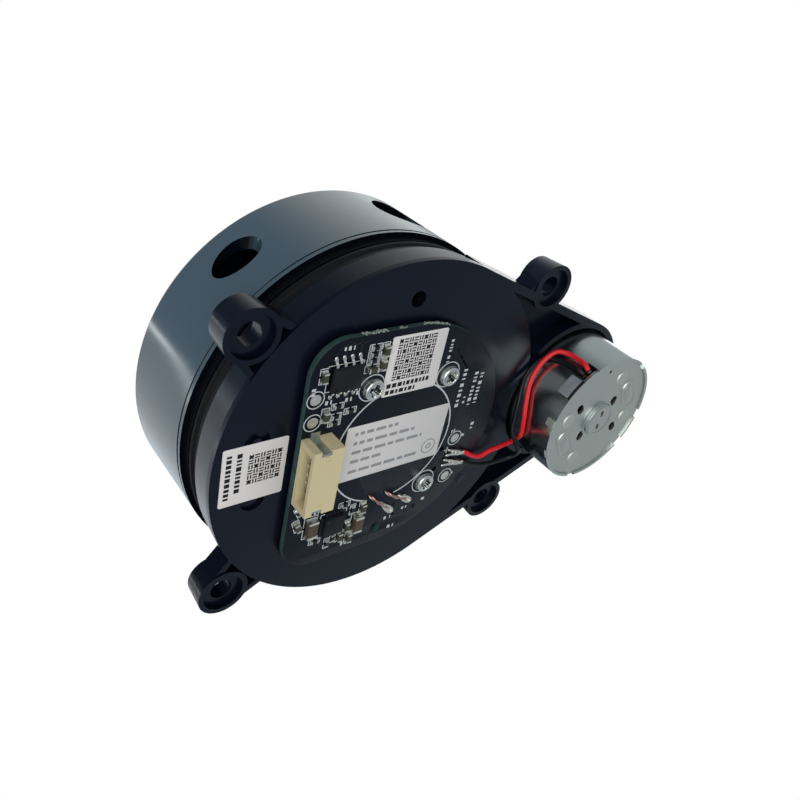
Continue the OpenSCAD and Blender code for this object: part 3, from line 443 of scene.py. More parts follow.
class Shape:
    """Collects faces with their material numbers, then becomes one object."""

    def __init__(self):
        self.verts, self.faces, self.mats = [], [], []

    def add(self, verts, faces, mat=0, place=None):
        base = len(self.verts)
        self.verts += [(place @ Vector(p)) if place is not None else Vector(p) for p in verts]
        self.faces += [[i + base for i in face] for face in faces]
        self.mats += [mat] * len(faces)

    def stack(self, rows, mat=0, place=None):
        """Skins a run of closed rows with equal point counts and caps both ends."""
        n = len(rows[0])
        faces = []
        for i in range(len(rows) - 1):
            for k in range(n):
                a, b = i * n + k, i * n + (k + 1) % n
                faces.append([a, b, b + n, a + n])
        faces.append(list(range(n))[::-1])
        faces.append([(len(rows) - 1) * n + k for k in range(n)])
        self.add([p for row in rows for p in row], faces, mat, place)

    def lathe(self, profile, count, mat=0, place=None):
        """Turns an open profile of (radius, z); a row on the axis keeps a hair of radius."""
        rows = [lift(circle(max(radius, 1e-4), count), z) for radius, z in profile]
        self.stack(rows, mat, place)

    def ring(self, section, count, mat=0, place=None):
        """Turns a closed section of (radius, z) all the way round."""
        n = len(section)
        verts, faces = [], []
        for k in range(count):
            c, s = math.cos(2 * math.pi * k / count), math.sin(2 * math.pi * k / count)
            verts += [(radius * c, radius * s, z) for radius, z in section]
        for k in range(count):
            here, ahead = k * n, (k + 1) % count * n
            for j in range(n):
                after = (j + 1) % n
                faces.append([here + j, here + after, ahead + after, ahead + j])
        self.add(verts, faces, mat, place)

    def washer(self, r0, r1, z0, z1, count, mat=0, place=None):
        self.ring([(r0, z0), (r1, z0), (r1, z1), (r0, z1)], count, mat, place)

    def arc_band(self, radii, angles, zs, steps, mat=0, place=None):
        """Square-edged band between two radii, two angles in degrees and two heights."""
        corners = list(zip((radii[0], radii[1], radii[1], radii[0]), (zs[0], zs[0], zs[1], zs[1])))
        rows = []
        for k in range(steps + 1):
            c, s = polar(1, angles[0] + (angles[1] - angles[0]) * k / steps)
            rows.append([(radius * c, radius * s, z) for radius, z in corners])
        self.stack(rows, mat, place)

    def box(self, xs, ys, zs, mat=0, place=None, radius=0.0, rim=0.0):
        """Box, plain or with rounded upright edges (radius) and rounded rims (rim)."""
        if not radius:
            corners = ((xs[0], ys[0]), (xs[1], ys[0]), (xs[1], ys[1]), (xs[0], ys[1]))
            self.stack([lift(corners, z) for z in zs], mat, place)
            return
        steps = 2
        rows = []
        for z, side, order in ((zs[0], 1, range(steps + 1)), (zs[1], -1, range(steps, -1, -1))):
            for k in order:
                t = math.pi / 2 * k / steps
                outline = rounded_rect(xs, ys, radius, steps, rim * (1 - math.sin(t)))
                rows.append(lift(outline, z + side * rim * (1 - math.cos(t))))
        self.stack(rows, mat, place)

    def tube(self, path, radius, count=12, mat=0, domed=True):
        """Round tube; radius is a number or a function of the way along (0 to 1)."""
        path = [Vector(p) for p in path]
        last = len(path) - 1
        radius_at = radius if callable(radius) else (lambda t: radius)
        ahead = [(path[min(i + 1, last)] - path[max(i - 1, 0)]).normalized()
                 for i in range(last + 1)]
        up = ahead[0].cross(Vector((0, 0, 1)))
        if up.length < 0.1:
            up = ahead[0].cross(Vector((1, 0, 0)))
        turns = [2 * math.pi * k / count for k in range(count)]
        rows = []
        for i, centre in enumerate(path):
            up = (up - up.dot(ahead[i]) * ahead[i]).normalized()
            side = ahead[i].cross(up)
            r = radius_at(i / last)
            rows.append([centre + r * (math.cos(t) * up + math.sin(t) * side) for t in turns])
        if domed:
            def dome(end, way, t):
                push = ahead[end] * way * radius_at(end / last) * t
                shrink = math.sqrt(1 - t * t)
                row = rows[end]
                return [path[end] + (p - path[end]) * shrink + push for p in row]

            first = [dome(0, -1, 0.87), dome(0, -1, 0.5)]
            rows = first + rows + [dome(last, 1, 0.5), dome(last, 1, 0.87)]\
                if False else first + rows + [dome(last, 1, t) for t in (0.5, 0.87)]
        self.stack(rows, mat)

    def bead(self, x, y, z, size, turn=0, lump=0.0):
        """Half drop that stands out towards -Z from its flat side at z."""
        count, steps = 20, 10
        rows = []
        for i in range(steps + 1):
            t = math.pi / 2 * i / steps
            flat = max(math.sin(t), 2e-3)
            row = []
            for k in range(count):
                p = 2 * math.pi * k / count
                w = flat * (1 + lump * math.sin(3 * p + 5 * t + x) * math.sin(t))
                row.append((w * math.cos(p) * size[0], w * math.sin(p) * size[1],
                            -math.cos(t) * size[2]))
            rows.append(row)
        self.stack(rows, 0, at(x, y, z, turn))

    def stroke(self, x0, y0, x1, y1, width, zs):
        start, end, _, _, turn = flat_line(x0, y0, x1, y1)
        self.box((0, (end - start).length), span(0, width / 2), zs, 0, at(x0, y0, 0, turn))

    def bar_along(self, axis, x, y, offset, length, height, zs):
        """Bar that starts offset from x, y along the axis and is centred on it."""
        if axis == "y":
            self.box(span(x, height / 2), (y + offset, y + offset + length), zs)
        else:
            self.box((x + offset, x + offset + length), span(y, height / 2), zs)

    def build(self, name, materials, replaced=(), smooth=40):
        mesh = bpy.data.meshes.new(name)
        mesh.from_pydata([tuple(p * MM) for p in self.verts], [], self.faces)
        mesh.polygons.foreach_set("material_index", self.mats)
        clean(mesh)
        return install(mesh, name, materials, replaced, smooth)


# ------------------------------------------------------------------ board dimensions
FACE = -1.5  # z of the open board face
BOARD_ZS = (FACE, -0.5)
BOARD_RADIUS = 20.3
CORNER_RADIUS = 5.5
CORNER_X = -11.7
SCREW_RADIUS = 1.65
SCREWS = [polar(13.25, angle) for angle in (-120, -54.5, 50)]
SCREW_TURNS = (18, 50, 8)
PADS = [(-15.85, -11.5), (-15.75, -7.75), (13.2, 2.6), (13.4, 10.5)]
COIL_HOLES = ((-2.3, 9.7), (0.9, 10))
# x, y, hole radius, then inner radius, outer radius and height of the ring round it
RINGED_HOLES = ((0.4, 17.4, 0.9, 0.98, 1.12, 0.04), (17.4, 12.4, 1.05, 1.1, 1.35, 0.03))
INK_ZS = (FACE - 0.035, FACE - 0.004)
TRACK_ZS = (FACE - 0.022, FACE + 0.01)

# x, y, turn in degrees
RESISTORS = [
    (-7.4, -18.2, 0), (-7.4, -17.15, 0), (-7.4, -16.1, 0), (-12, -9.65, 0), (-12.1, -7.95, 0),
    (-12.1, -6.85, 0), (-9.7, -8.4, 0), (-7.1, 9.8, 0), (-5.3, 11.4, 90), (-15.5, 8.4, 60),
    (-11.6, 15.7, 0), (-8.2, 16.2, 90), (-9.2, 17, 90)]
CAPACITORS = [
    (-15.2, -15.1, 90), (-13.9, -8.5, 90), (-7.4, -14.8, 0), (-5.6, -17.5, 90),
    (-5.7, -15.3, 90), (-15.4, 11.2, 70), (-7, 16.3, 90), (-5.9, 14.6, 90), (-5.1, 17.2, 90),
    (-3.4, 11.6, 90)]
# x, y, turn, body length and width, ink outline length and width
FILTER_CAPACITORS = [(-12.95, 12.25, 90, 3.3, 1.7, 4.3, 2.3), (-4.1, 14.4, 90, 3.2, 1.6, 4.1, 2.2)]

DRIVER_X, DRIVER_Y = -11.7, -14.45
CONTROLLER_X, CONTROLLER_Y = -8.85, 12.95


# ------------------------------------------------------------------ bare board and screws
def board_panel():
    corner_y = BOARD_RADIUS - CORNER_RADIUS
    outline = arc(0, 0, BOARD_RADIUS, -90, 90, 72)
    outline += arc(CORNER_X, corner_y, CORNER_RADIUS, 90, 180, 16)
    outline += arc(CORNER_X, -corner_y, CORNER_RADIUS, 180, 270, 16)
    holes = [hole(x, y, 1.05, 32) for x, y in SCREWS]
    holes += [hole(x, y, 0.55, 24) for x, y in COIL_HOLES]
    holes += [hole(x, y, radius, 32) for x, y, radius, *_ in RINGED_HOLES]
    mesh = plate_mesh("board_panel", [outline] + holes, BOARD_ZS, rim=0.06, rim_steps=2)
    for face in mesh.polygons:
        face.material_index = 1 if abs(face.normal.z) < 0.6 else 0
    install(mesh, "board_panel", ["board_mask_black", "board_edge_glass"],
            ["control_board"], 35)


def edge_fibres():
    """Torn glass fibre where the board was broken out of its panel."""
    shape = Shape()
    draw = random.Random(5)
    faces = [[0, 1, 2, 3], [7, 6, 5, 4], [0, 4, 5, 1], [1, 5, 6, 2], [2, 6, 7, 3], [3, 7, 4, 0]]
    # x range and number of fibres
    for x0, x1, count in ((-9.6, -5.6, 34), (0.6, 5.6, 40), (-3.5, -2.2, 8)):
        for k in range(count):
            x = x0 + (x1 - x0) * (k + draw.random() * 0.8) / count
            y = -BOARD_RADIUS if x < 0 else -math.sqrt(BOARD_RADIUS ** 2 - x * x)
            half, reach, tall = draw.uniform(0.06, 0.2), draw.uniform(0.05, 0.24), draw.uniform(0.1, 0.5)
            z = draw.uniform(FACE, FACE + 0.5)
            turn = draw.uniform(-25, 25)
            # share of half width, y, share of height
            corners = ((-1, 0.12, 0), (1, 0.12, 0), (0.3, -reach, 0.3), (-0.6, -reach * 0.8, 0.2),
                       (-1, 0.12, 1), (1, 0.12, 1), (0.2, -reach * 0.9, 0.8),
                       (-0.4, -reach * 0.6, 0.9))
            verts = [(half * a, b, z + tall * c) for a, b, c in corners]
            shape.add(verts, faces, 0, at(x, y, 0, turn))
    shape.build("board_edge_fibres", ["torn_fibre"], smooth=0)


def screw_head(shape, x, y, turn, height=1.1):
    """Pan head with a cross recess, worked out for radius 1 and height 1, crown towards -Z."""
    steps, count = 30, 96
    slot_half, slot_depth = 0.24, 0.8
    shoulder = 0.86  # radius where the crown turns down to the rim
    shoulder_z = 1 - 0.16 * 0.74
    rows = [lift(circle(1, count), z) for z in (0, 0.33)]
    for i in range(1, steps + 1):
        radius = 1 - i / steps
        if radius < shoulder:
            crown = 1 - 0.16 * radius * radius
        else:
            fall = math.sqrt(1 - ((radius - shoulder) / 0.14) ** 2)
            crown = shoulder_z * (0.62 * fall + 0.38)
        row = []
        for px, py in circle(radius, count):
            near, far = sorted((abs(px), abs(py)))
            half = slot_half * (1.15 - 0.4 * far)
            cross = ease((half - near) / 0.07 + 0.5) * ease((0.66 - far) / 0.2 + 0.1)
            pit = 0.25 * ease((0.2 - radius) / 0.1 + 0.5)
            row.append((px, py, max(crown - slot_depth * (cross + pit), 0.02)))
        rows.append(row)
    scale = Matrix.Diagonal((SCREW_RADIUS, SCREW_RADIUS, -height, 1))
    shape.stack(rows, 0, at(x, y, FACE - 0.01, turn) @ scale)


def board_screws():
    shape = Shape()
    for (x, y), turn in zip(SCREWS, SCREW_TURNS):
        screw_head(shape, x, y, turn)
        shape.lathe([(0.84, -0.05), (0.84, 4.2), (0.6, 4.38)], 32, 0, at(x, y, FACE))
    screws = shape.build("board_screw_set", ["screw_steel", "driver_recess_shadow"],
                         ["board_screws"], 50)
    # the driver crosses are in shade
    for face in screws.data.polygons:
        centre = face.center / MM
        for (x, y), turn in zip(SCREWS, SCREW_TURNS):
            offset = Vector((centre.x - x, centre.y - y))
            if offset.length < SCREW_RADIUS and centre.z < FACE:
                offset.rotate(Matrix.Rotation(math.radians(-turn), 2))
                near, far = sorted((abs(offset.x), abs(offset.y)))
                if near < 0.36 - 0.1 * far and far < 1.02:
                    face.material_index = 1


# ------------------------------------------------------------------ board ink and tracks
# x, y, axis, length, height, seed
LONG_DASHES = (
    (11.4, -11.0, "y", 7.4, 0.95, 3), (12.75, -5.6, "y", 2.0, 0.6, 4),
    (14.0, -10.0, "y", 6.3, 0.95, 5), (15.3, -9.6, "y", 5.8, 0.95, 6),
    (6.9, -17.0, "y", 4.0, 0.8, 7))
# x, y, length, axis
SHORT_DASHES = (
    (-16.4, -13.4, 1.4, "y"), (-14.2, -10.6, 1.2, "x"), (-10.9, -10.4, 1.2, "x"),
    (-3.0, 14.2, 1.2, "y"), (12.0, 1.0, 0.9, "x"), (14.9, 2.2, 0.9, "y"), (14.9, 10.2, 0.9, "y"),
    (-6.3, 18.4, 1.6, "x"), (-12.6, 9.6, 1.4, "x"), (1.8, 15.9, 1.4, "x"), (5.2, 14.9, 1.2, "x"),
    (-12.6, -18.8, 1.8, "x"), (-9.2, -11.2, 0.9, "x"), (3.0, 18.2, 1.4, "x"),
    (9.6, 14.0, 1.2, "y"), (16.4, 0.2, 1.4, "y"))


def dashes(shape, x, y, axis, length, height, seed):
    """A row of plain bars of uneven length, in place of printing."""
    draw = random.Random(seed)
    t = 0.0
    while t < length - 0.2:
        width = min(draw.choice((0.32, 0.45, 0.6, 0.8)) * height / 0.8, length - t)
        tall = height * draw.choice((0.62, 0.75, 0.75))
        shape.bar_along(axis, x, y, t, width * 0.66, tall, INK_ZS)
        t += width + 0.18 * height / 0.8 + (0.35 if draw.random() < 0.18 else 0)


def part_outline(shape, x, y, turn, length, width, line=0.13):
    """Outline round a small part with a gap in the middle of each long side."""
    place = at(x, y, 0, turn)
    for s in (-1, 1):
        side = span(s * width / 2, line / 2)
        shape.box((-length / 2, -0.18), side, INK_ZS, 0, place)
        shape.box((0.18, length / 2), side, INK_ZS, 0, place)
        shape.box(span(s * length / 2, line / 2), span(0, width / 2), INK_ZS, 0, place)


def board_ink():
    ink = Shape()
    ink.arc_band((10.78, 11.02), (105, 76.8 + 360), INK_ZS, 160)
    for x, y in SCREWS:
        ink.arc_band((2.08, 2.24), (0, 360), INK_ZS, 48, 0, at(x, y))
    for x, y in PADS:
        ink.arc_band((1.27, 1.42), (0, 360), INK_ZS, 40, 0, at(x, y))
    # frame round the driver chip
    x0, y0, x1, y1 = -14.6, -16.5, -8.9, -12.4
    for line in ((x0, y0, x1, y0), (x1, y0, x1, y1), (x1, y1, x0, y1), (x0, y1, x0, y0)):
        ink.stroke(*line, 0.12, INK_ZS)
    # corner ticks round the controller chip
    for y, dy in ((10.6, 0.7), (15.3, -0.7)):
        for x, dx in ((-11.2, 0.7), (-6.5, -0.7)):
            ink.stroke(x, y, x + dx, y, 0.14, INK_ZS)
            ink.stroke(x, y, x, y + dy, 0.14, INK_ZS)
    # plus sign
    ink.stroke(11.55, 4.8, 12.75, 4.8, 0.18, INK_ZS)
    ink.stroke(12.15, 4.2, 12.15, 5.4, 0.18, INK_ZS)
    for row in LONG_DASHES:
        dashes(ink, *row)
    for x, y, length, axis in SHORT_DASHES:
        dashes(ink, x, y, axis, length, 0.85, seed=int(x * 7 + y * 13 + 500))
    for part in RESISTORS:
        part_outline(ink, *part, length=2.05, width=0.98)
    for part in CAPACITORS:
        part_outline(ink, *part, length=2.4, width=1.2)
    for x, y, turn, _, _, length, width in FILTER_CAPACITORS:
        part_outline(ink, x, y, turn, length, width)
    ink.build("board_ink", ["board_ink_white"], smooth=0)


def track(shape, width, *points):
    """Strokes from point to point, each with a round end."""
    for start, end in zip(points[:-1], points[1:]):
        shape.stroke(*start, *end, width, TRACK_ZS)
        shape.lathe([(width / 2, z) for z in TRACK_ZS], 12, 0, at(*end))


def board_tracks():
    """Tracks and plated holes under the mask; each hole's bore is a near-black disc of painted shade."""
    shape = Shape()
    for k in range(6):
        x, y = -9.9 + 0.15 * k, -3.35 + 1.5 * k
        track(shape, 0.3, (-11, y), (x, y), (x, y + (6.4 if k > 2 else -5.0) * 0.4))
    for k in range(5):
        x = 9.8 + 0.55 * k
        track(shape, 0.22, (7.8 + 0.6 * k, -16 + 0.8 * k), (x, -13 + 0.6 * k), (x, 2 + 0.4 * k),
              (7.5 + 0.5 * k, 6 + 0.4 * k))
    for k in range(4):
        x = -13.6 + 1.27 * k
        track(shape, 0.25, (x, -18), (x, -18.6 - 0.2 * k), (-12.0 + 1.2 * k, -19.6))
    track(shape, 0.9, (12.9, 5.1), (10.8, 4.2), (10.8, -1))
    track(shape, 0.9, (12.4, 7.0), (10.4, 8.2), (9.3, 9.6))
    track(shape, 0.8, (2.2, 13.6), (3.4, 15.4), (8, 15.4))
    for k in range(3):
        x = -3 + 1.1 * k
        track(shape, 0.22, (x, 19.4), (x, 18.4), (-4.5 + 1.1 * k, 17))
    draw = random.Random(11)
    for _ in range(46):
        angle, radius = draw.uniform(0, 2 * math.pi), draw.uniform(11.8, 19.2)
        x, y = radius * math.cos(angle), radius * math.sin(angle)
        near_part = any(math.hypot(x - px, y - py) < 2.6 for px, py in SCREWS + PADS)
        if x < -16 or near_part or (-5.2 < x < 6 and y < -8.6):
            continue
        shape.washer(0.16, 0.3, TRACK_ZS[0] - 0.004, TRACK_ZS[1], 20, 0, at(x, y))
        # painted shade: a near-black disc in the ink material stands in for the dark bore of each plated
        # hole
        shape.lathe([(0.15, FACE - 0.006), (0.15, FACE + 0.02)], 12, 1, at(x, y))
    shape.build("board_tracks", ["board_track", "label_ink"])


def round_pads():
    shape = Shape()
    # radius, height above the board face
    profile = ((0.86, 0), (0.86, 0.05), (0.8, 0.075), (0.35, 0.085), (0.3, 0.06), (0.0, 0.055))
    for x, y in PADS:
        shape.lathe([(radius, FACE - height) for radius, height in profile], 36, 0, at(x, y))
    for x, y, _, r0, r1, height in RINGED_HOLES:
        shape.washer(r0, r1, FACE - height, FACE, 36, 1, at(x, y))
    shape.build("board_round_pads", ["solder_tin", "board_track"], ["test_pads"])


# ------------------------------------------------------------------ board parts
def driver_chip():
    """Eight-lead chip: body with a pin-one dimple."""
    shape = Shape()
    rows = []
    # inset, height above the board face
    for inset, height in ((0.17, 0.12), (0.0, 0.52), (0.0, 0.56), (0.14, 0.93), (0.2, 0.975)):
        outline = rounded_rect(span(DRIVER_X, 2.45 - inset), span(DRIVER_Y, 1.95 - inset), 0.08, 2)
        rows.append(lift(outline, FACE - height))
    shape.stack(rows)
    dimple = ((0.34, 0.972), (0.34, 0.984), (0.3, 0.976), (0.0, 0.974))
    shape.lathe([(radius, FACE - height) for radius, height in dimple], 24, 1,
                at(DRIVER_X - 1.85, DRIVER_Y + 1.35))
    shape.build("driver_chip_body", ["chip_epoxy", "inner_black"],
                ["driver_chip"], 30)


def driver_legs():
    """Gull-wing legs, four on each side."""
    shape = Shape()
    pitch, half_width, half_thick = 1.27, 0.2, 0.085
    # distance from the chip's middle line, z from the board face
    path = [(1.93, -0.54), (2.2, -0.54), (2.32, -0.5), (2.42, -0.4), (2.5, -0.24),
            (2.58, -0.15), (2.72, -0.11), (3.1, -0.11)]
    for k in range(4):
        x = DRIVER_X + (k - 1.5) * pitch
        x0, x1 = span(x, half_width)
        for s in (-1, 1):
            rows = []
            for j, (out, z) in enumerate(path):
                before, after = path[max(j - 1, 0)], path[min(j + 1, len(path) - 1)]
                ahead = Vector((after[0] - before[0], after[1] - before[1])).normalized()
                dy, dz = -ahead.y * half_thick, ahead.x * half_thick
                ya, za = DRIVER_Y + s * (out + dy), FACE + z + dz
                yb, zb = DRIVER_Y + s * (out - dy), FACE + z - dz
                rows.append([(x0, ya, za), (x1, ya, za), (x1, yb, zb), (x0, yb, zb)])
            shape.stack(rows)
            shape.bead(x, DRIVER_Y + s * 2.95, FACE, (0.28, 0.42, 0.1))
    shape.build("driver_chip_legs", ["solder_tin"], ["driver_chip_leads"], 35)


def controller_chip():
    """Leadless chip with its pads."""
    shape = Shape()
    shape.box(span(CONTROLLER_X, 1.75), span(CONTROLLER_Y, 1.75), (FACE - 0.85, FACE - 0.02),
              radius=0.06, rim=0.04)
    shape.lathe([(0.24, FACE - 0.852), (0.24, FACE - 0.862), (0.0, FACE - 0.858)], 20, 1,
                at(CONTROLLER_X - 1.25, CONTROLLER_Y - 1.2))
    pad_zs = (FACE - 0.16, FACE - 0.01)
    for k in range(6):
        t = -1.25 + 0.5 * k
        for s in (-1, 1):
            shape.box(span(CONTROLLER_X + t, 0.12),
                      (CONTROLLER_Y + s * 1.6 - 0.28, CONTROLLER_Y + s * 2.08), pad_zs, 2)
            shape.box((CONTROLLER_X + s * 1.62 - 0.26, CONTROLLER_X + s * 2.04),
                      span(CONTROLLER_Y + t, 0.12), pad_zs, 2)
    shape.build("controller_chip_body", ["chip_epoxy", "board_track", "solder_tin"],
                ["controller_chip"], 30)


def two_terminal(shape, x, y, turn, length, width, height, end):
    """Small part with a metal cap at each end (end is its length) and a solder fillet."""
    place = at(x, y, FACE, turn)
    shape.box(span(0, length / 2 - end * 0.8), span(0, width / 2 - 0.02),
              (-height + 0.02, -0.03), 0, place, radius=0.04, rim=0.03)
    foot = width / 2 + 0.03
    # distance out from the cap, z
    fillet = ((0.0, -height * 0.62), (0.07, -height * 0.3), (0.16, -0.1), (0.2, -0.02), (0.2, 0.0))
    for s in (-1, 1):
        shape.box(sorted((s * length / 2, s * (length / 2 - end))), span(0, width / 2),
                  (-height, -0.015), 1, place, radius=0.05, rim=0.05)
        rows = []
        for out, z in fillet:
            outer_x, inner_x = s * (length / 2 - 0.03 + out), s * (length / 2 - 0.08)
            half = foot + out * 0.25
            rows.append([(outer_x, -half, z), (outer_x, half, z),
                         (inner_x, foot, z), (inner_x, -foot, z)])
        shape.stack(rows, 1, place)


def small_parts():
    shape = Shape()
    for part in RESISTORS:
        two_terminal(shape, *part, length=1.3, width=0.65, height=0.36, end=0.24)
    shape.build("resistor_set", ["resistor_glaze", "solder_tin"],
                ["chip_resistors"], 30)
    shape = Shape()
    for part in CAPACITORS:
        two_terminal(shape, *part, length=1.65, width=0.8, height=0.75, end=0.3)
    shape.build("capacitor_set", ["capacitor_olive", "solder_tin"],
                ["chip_capacitors"], 30)
    shape = Shape()
    for x, y, turn, length, width, _, _ in FILTER_CAPACITORS:
        two_terminal(shape, x, y, turn, length, width, height=1.08, end=0.45)
    shape.build("filter_capacitor_pair", ["capacitor_brown", "solder_tin"],
                ["filter_capacitors"], 30)


# ------------------------------------------------------------------ labels
LABEL_LIFT = 0.14  # from the surface under a label to its printed face
BASE_LABEL_FACE = -LABEL_LIFT
BOARD_LABEL_FACE = FACE - LABEL_LIFT
# object name, x range, y range, z of the surface under it, material, replaced node
LABELS = (
    ("base_sticker", (-28, -18.15), (-5.4, 4.5), 0.0, "label_paper", "base_label"),
    ("board_sticker", (-4.65, 5.35), (-19.3, -9.35), FACE, "label_paper", "board_label"),
    ("rating_sticker", (-9.4, 9.7), (-5.2, 4.9), FACE, "label_film", "rating_label"))


def labels():
    for name, xs, ys, z, material, node in LABELS:
        outline = rounded_rect(xs, ys, 0.35, 6)
        mesh = plate_mesh(name, [outline], (z - LABEL_LIFT, z - 0.015), rim=0.02, rim_steps=1)
        install(mesh, name, [material], [node])


def weave(shape, x0, y0, size, cells, z):
    """Basket weave: pairs of bars, turned a quarter from cell to cell, and small studs."""
    cell = size / cells
    bar_zs = (z - 0.012, z + 0.004)
    for i in range(cells):
        for j in range(cells):
            x, y = x0 + (i + 0.5) * cell, y0 + (j + 0.5) * cell
            for s in (-1, 1):
                shift = s * 0.25 * cell
                if (i + j) % 2:
                    shape.box(span(x, 0.43 * cell), span(y + shift, 0.13 * cell), bar_zs)
                else:
                    shape.box(span(x + shift, 0.13 * cell), span(y, 0.43 * cell), bar_zs)
            if (i + 2 * j) % 5 == 0:
                shape.box(span(x, 0.3 * cell), span(y, 0.3 * cell), (z - 0.013, z + 0.004))


def bars(shape, x, y, axis, length, height, z, seed, widths, gap):
    """A row of plain solid bars of even height, in place of printing."""
    draw = random.Random(seed)
    t = 0.0
    while t < length - 0.25:
        width = min(draw.uniform(*widths), length - t)
        shape.bar_along(axis, x, y, t, width, height, (z - 0.014, z + 0.003))
        t += width + gap


def label_marks():
    shape = Shape()
    weave(shape, -24.1, -3.7, 5.2, 6, BASE_LABEL_FACE)
    for x, length, seed in ((-27.0, 7.6, 21), (-25.45, 7.0, 22)):
        bars(shape, x, -4.3, "y", length, 0.78, BASE_LABEL_FACE, seed, (0.3, 0.75), gap=0.26)
    weave(shape, -3.55, -18.9, 7.0, 8, BOARD_LABEL_FACE)
    for y, length, height, seed in ((-11.15, 8.0, 0.74, 23), (-10.05, 5.6, 0.68, 24)):
        bars(shape, -4.1, y, "x", length, height, BOARD_LABEL_FACE, seed, (0.3, 0.8), gap=0.24)
    shape.build("label_marks", ["label_ink"], smooth=0)


def rating_marks():
    shape = Shape()
    # y, length, seed
    for y, length, seed in ((-3.75, 7.8, 31), (-2.05, 11.4, 32), (-0.35, 13.2, 33),
                            (1.35, 5.6, 34), (3.25, 13.4, 35)):
        bars(shape, -7.9, y, "x", length, 0.56, BOARD_LABEL_FACE, seed, (0.5, 2.4), gap=0.42)
    # two plain rings in the corner
    for radii, steps in (((1.22, 1.42), 48), ((0.3, 0.55), 32)):
        shape.arc_band(radii, (0, 360), (FACE - 0.152, FACE - 0.137), steps, 0, at(7.4, 2.5))
    shape.build("rating_marks", ["label_ink_grey"], smooth=0)


# ------------------------------------------------------------------ solder, leads, wires
def tinned_strands(shape, *ends):
    """Bare end of a motor wire: one bundle at the jacket that parts into two on the pad."""
    start, end, _, side, turn = flat_line(*ends)
    for s in (-1, 1):
        path = []
        for k in range(17):
            t = k / 16
            spread = (0.42 * (1 - t) ** 1.4 + 0.12) * (1 + 0.12 * math.sin(9 * t + 2 * s))
            z = FACE - 0.2 - 0.1 * math.sin(math.pi * t) - 0.24 * t
            path.append(start + (end - start) * t + side * s * spread + Vector((0, 0, z)))
        shape.tube(path, lambda t: 0.19 + 0.05 * t + 0.02 * math.sin(23 * t))
    # way along, bead size
    for t, size in ((0.42, (0.6, 0.42, 0.26)), (0.6, (0.7, 0.4, 0.38)), (0.76, (0.5, 0.34, 0.4))):
        p = start + (end - start) * t
        shape.bead(p.x, p.y, FACE - 0.02, size, turn, lump=0.12)


def tinned_loop(shape, *ends):
    """Coil lead's end: a flattened loop of tin."""
    start, end, ahead, side, turn = flat_line(*ends)
    middle, half = (start + end) / 2, (end - start).length / 2
    path = []
    for k in range(33):
        p = 2 * math.pi * k / 32
        width = 0.42 * (0.72 + 0.28 * math.cos(p))
        path.append(middle + ahead * half * 1.02 * math.cos(p) + side * width * math.sin(p) * 1.25
                    + Vector((0, 0, FACE - 0.34 - 0.05 * math.cos(2 * p))))
    shape.tube(path, lambda t: 0.24 + 0.05 * math.cos(2 * math.pi * t), domed=False)
    shape.bead(middle.x + ahead.x * 0.35, middle.y + ahead.y * 0.35, FACE - 0.01,
               (half * 0.95, 0.55, 0.3), turn, lump=0.1)
    shape.bead(start.x, start.y, FACE - 0.01, (0.5, 0.36, 0.5), turn, lump=0.1)


def solder_beads():
    shape = Shape()
    tinned_strands(shape, 12.3, 5.2, 16.2, 6.1)
    tinned_strands(shape, 11.9, 7.15, 16.6, 8.25)
    tinned_loop(shape, 0.5, 12.3, 2.7, 14.3)
    tinned_loop(shape, 4.0, 11.8, 6.2, 13.2)
    shape.build("solder_beads", ["solder_tin"], ["solder_joints"], 60)


# x, y, z stations from inside the base, through the board and over its face
COIL_LEADS = (
    [(*COIL_HOLES[0], 2.6), (*COIL_HOLES[0], 0.6), (-2.3, 9.75, -1.2), (-1.9, 10.1, -2.1),
     (-0.7, 11.2, -2.25), (0.6, 12.35, -2.0), (1.6, 13.2, -1.85)],
    [(*COIL_HOLES[1], 2.6), (*COIL_HOLES[1], 0.6), (0.95, 10.05, -1.2), (1.5, 10.4, -2.1),
     (2.9, 11.25, -2.25), (4.2, 12.0, -2.0), (5.3, 12.7, -1.85)])
# x, y, z stations from the board pads to the motor
RED_WIRE = [
    (15.9, 6.02, -1.98), (16.4, 6.2, -2.02), (18.4, 7.4, -2.1), (20.1, 7.8, -2.2),
    (22, 7, -2.4), (24.4, 6.9, -2.3), (27.6, 6.4, -2.3), (26.8, 3.8, -3.9), (26.3, 0.8, -3.9),
    (26.3, -1.3, -3.4), (26.6, -3, -2.8), (27.1, -5, -2.1), (27.8, -7, -1.75),
    (29.3, -9.4, -1.75), (31, -11.05, -2.4), (32.15, -11.3, -4.0), (32.6, -11.25, -6),
    (32.65, -11.1, -7.3), (32.8, -10.5, -8.2)]
BLACK_WIRE = [
    (16.3, 8.15, -1.95), (16.8, 8.35, -1.98), (18.4, 9.2, -2.05), (21.5, 10.2, -2.1),
    (25, 10.5, -2.1), (27.7, 9.6, -2.9), (27.4, 7.5, -4.1), (26, 5.2, -3.9), (25.4, 3.5, -3.1),
    (25.4, 1.6, -2.7), (25.6, -1.3, -2.3), (26, -3, -1.75), (26.7, -4.9, -1.05),
    (27.5, -6.3, -0.6), (28.9, -7.9, -0.52), (30.35, -9.25, -1.05), (31.25, -9.95, -3.2),
    (31.5, -10.2, -5.8), (31.55, -10.3, -7.2), (31.95, -9.9, -8.15)]


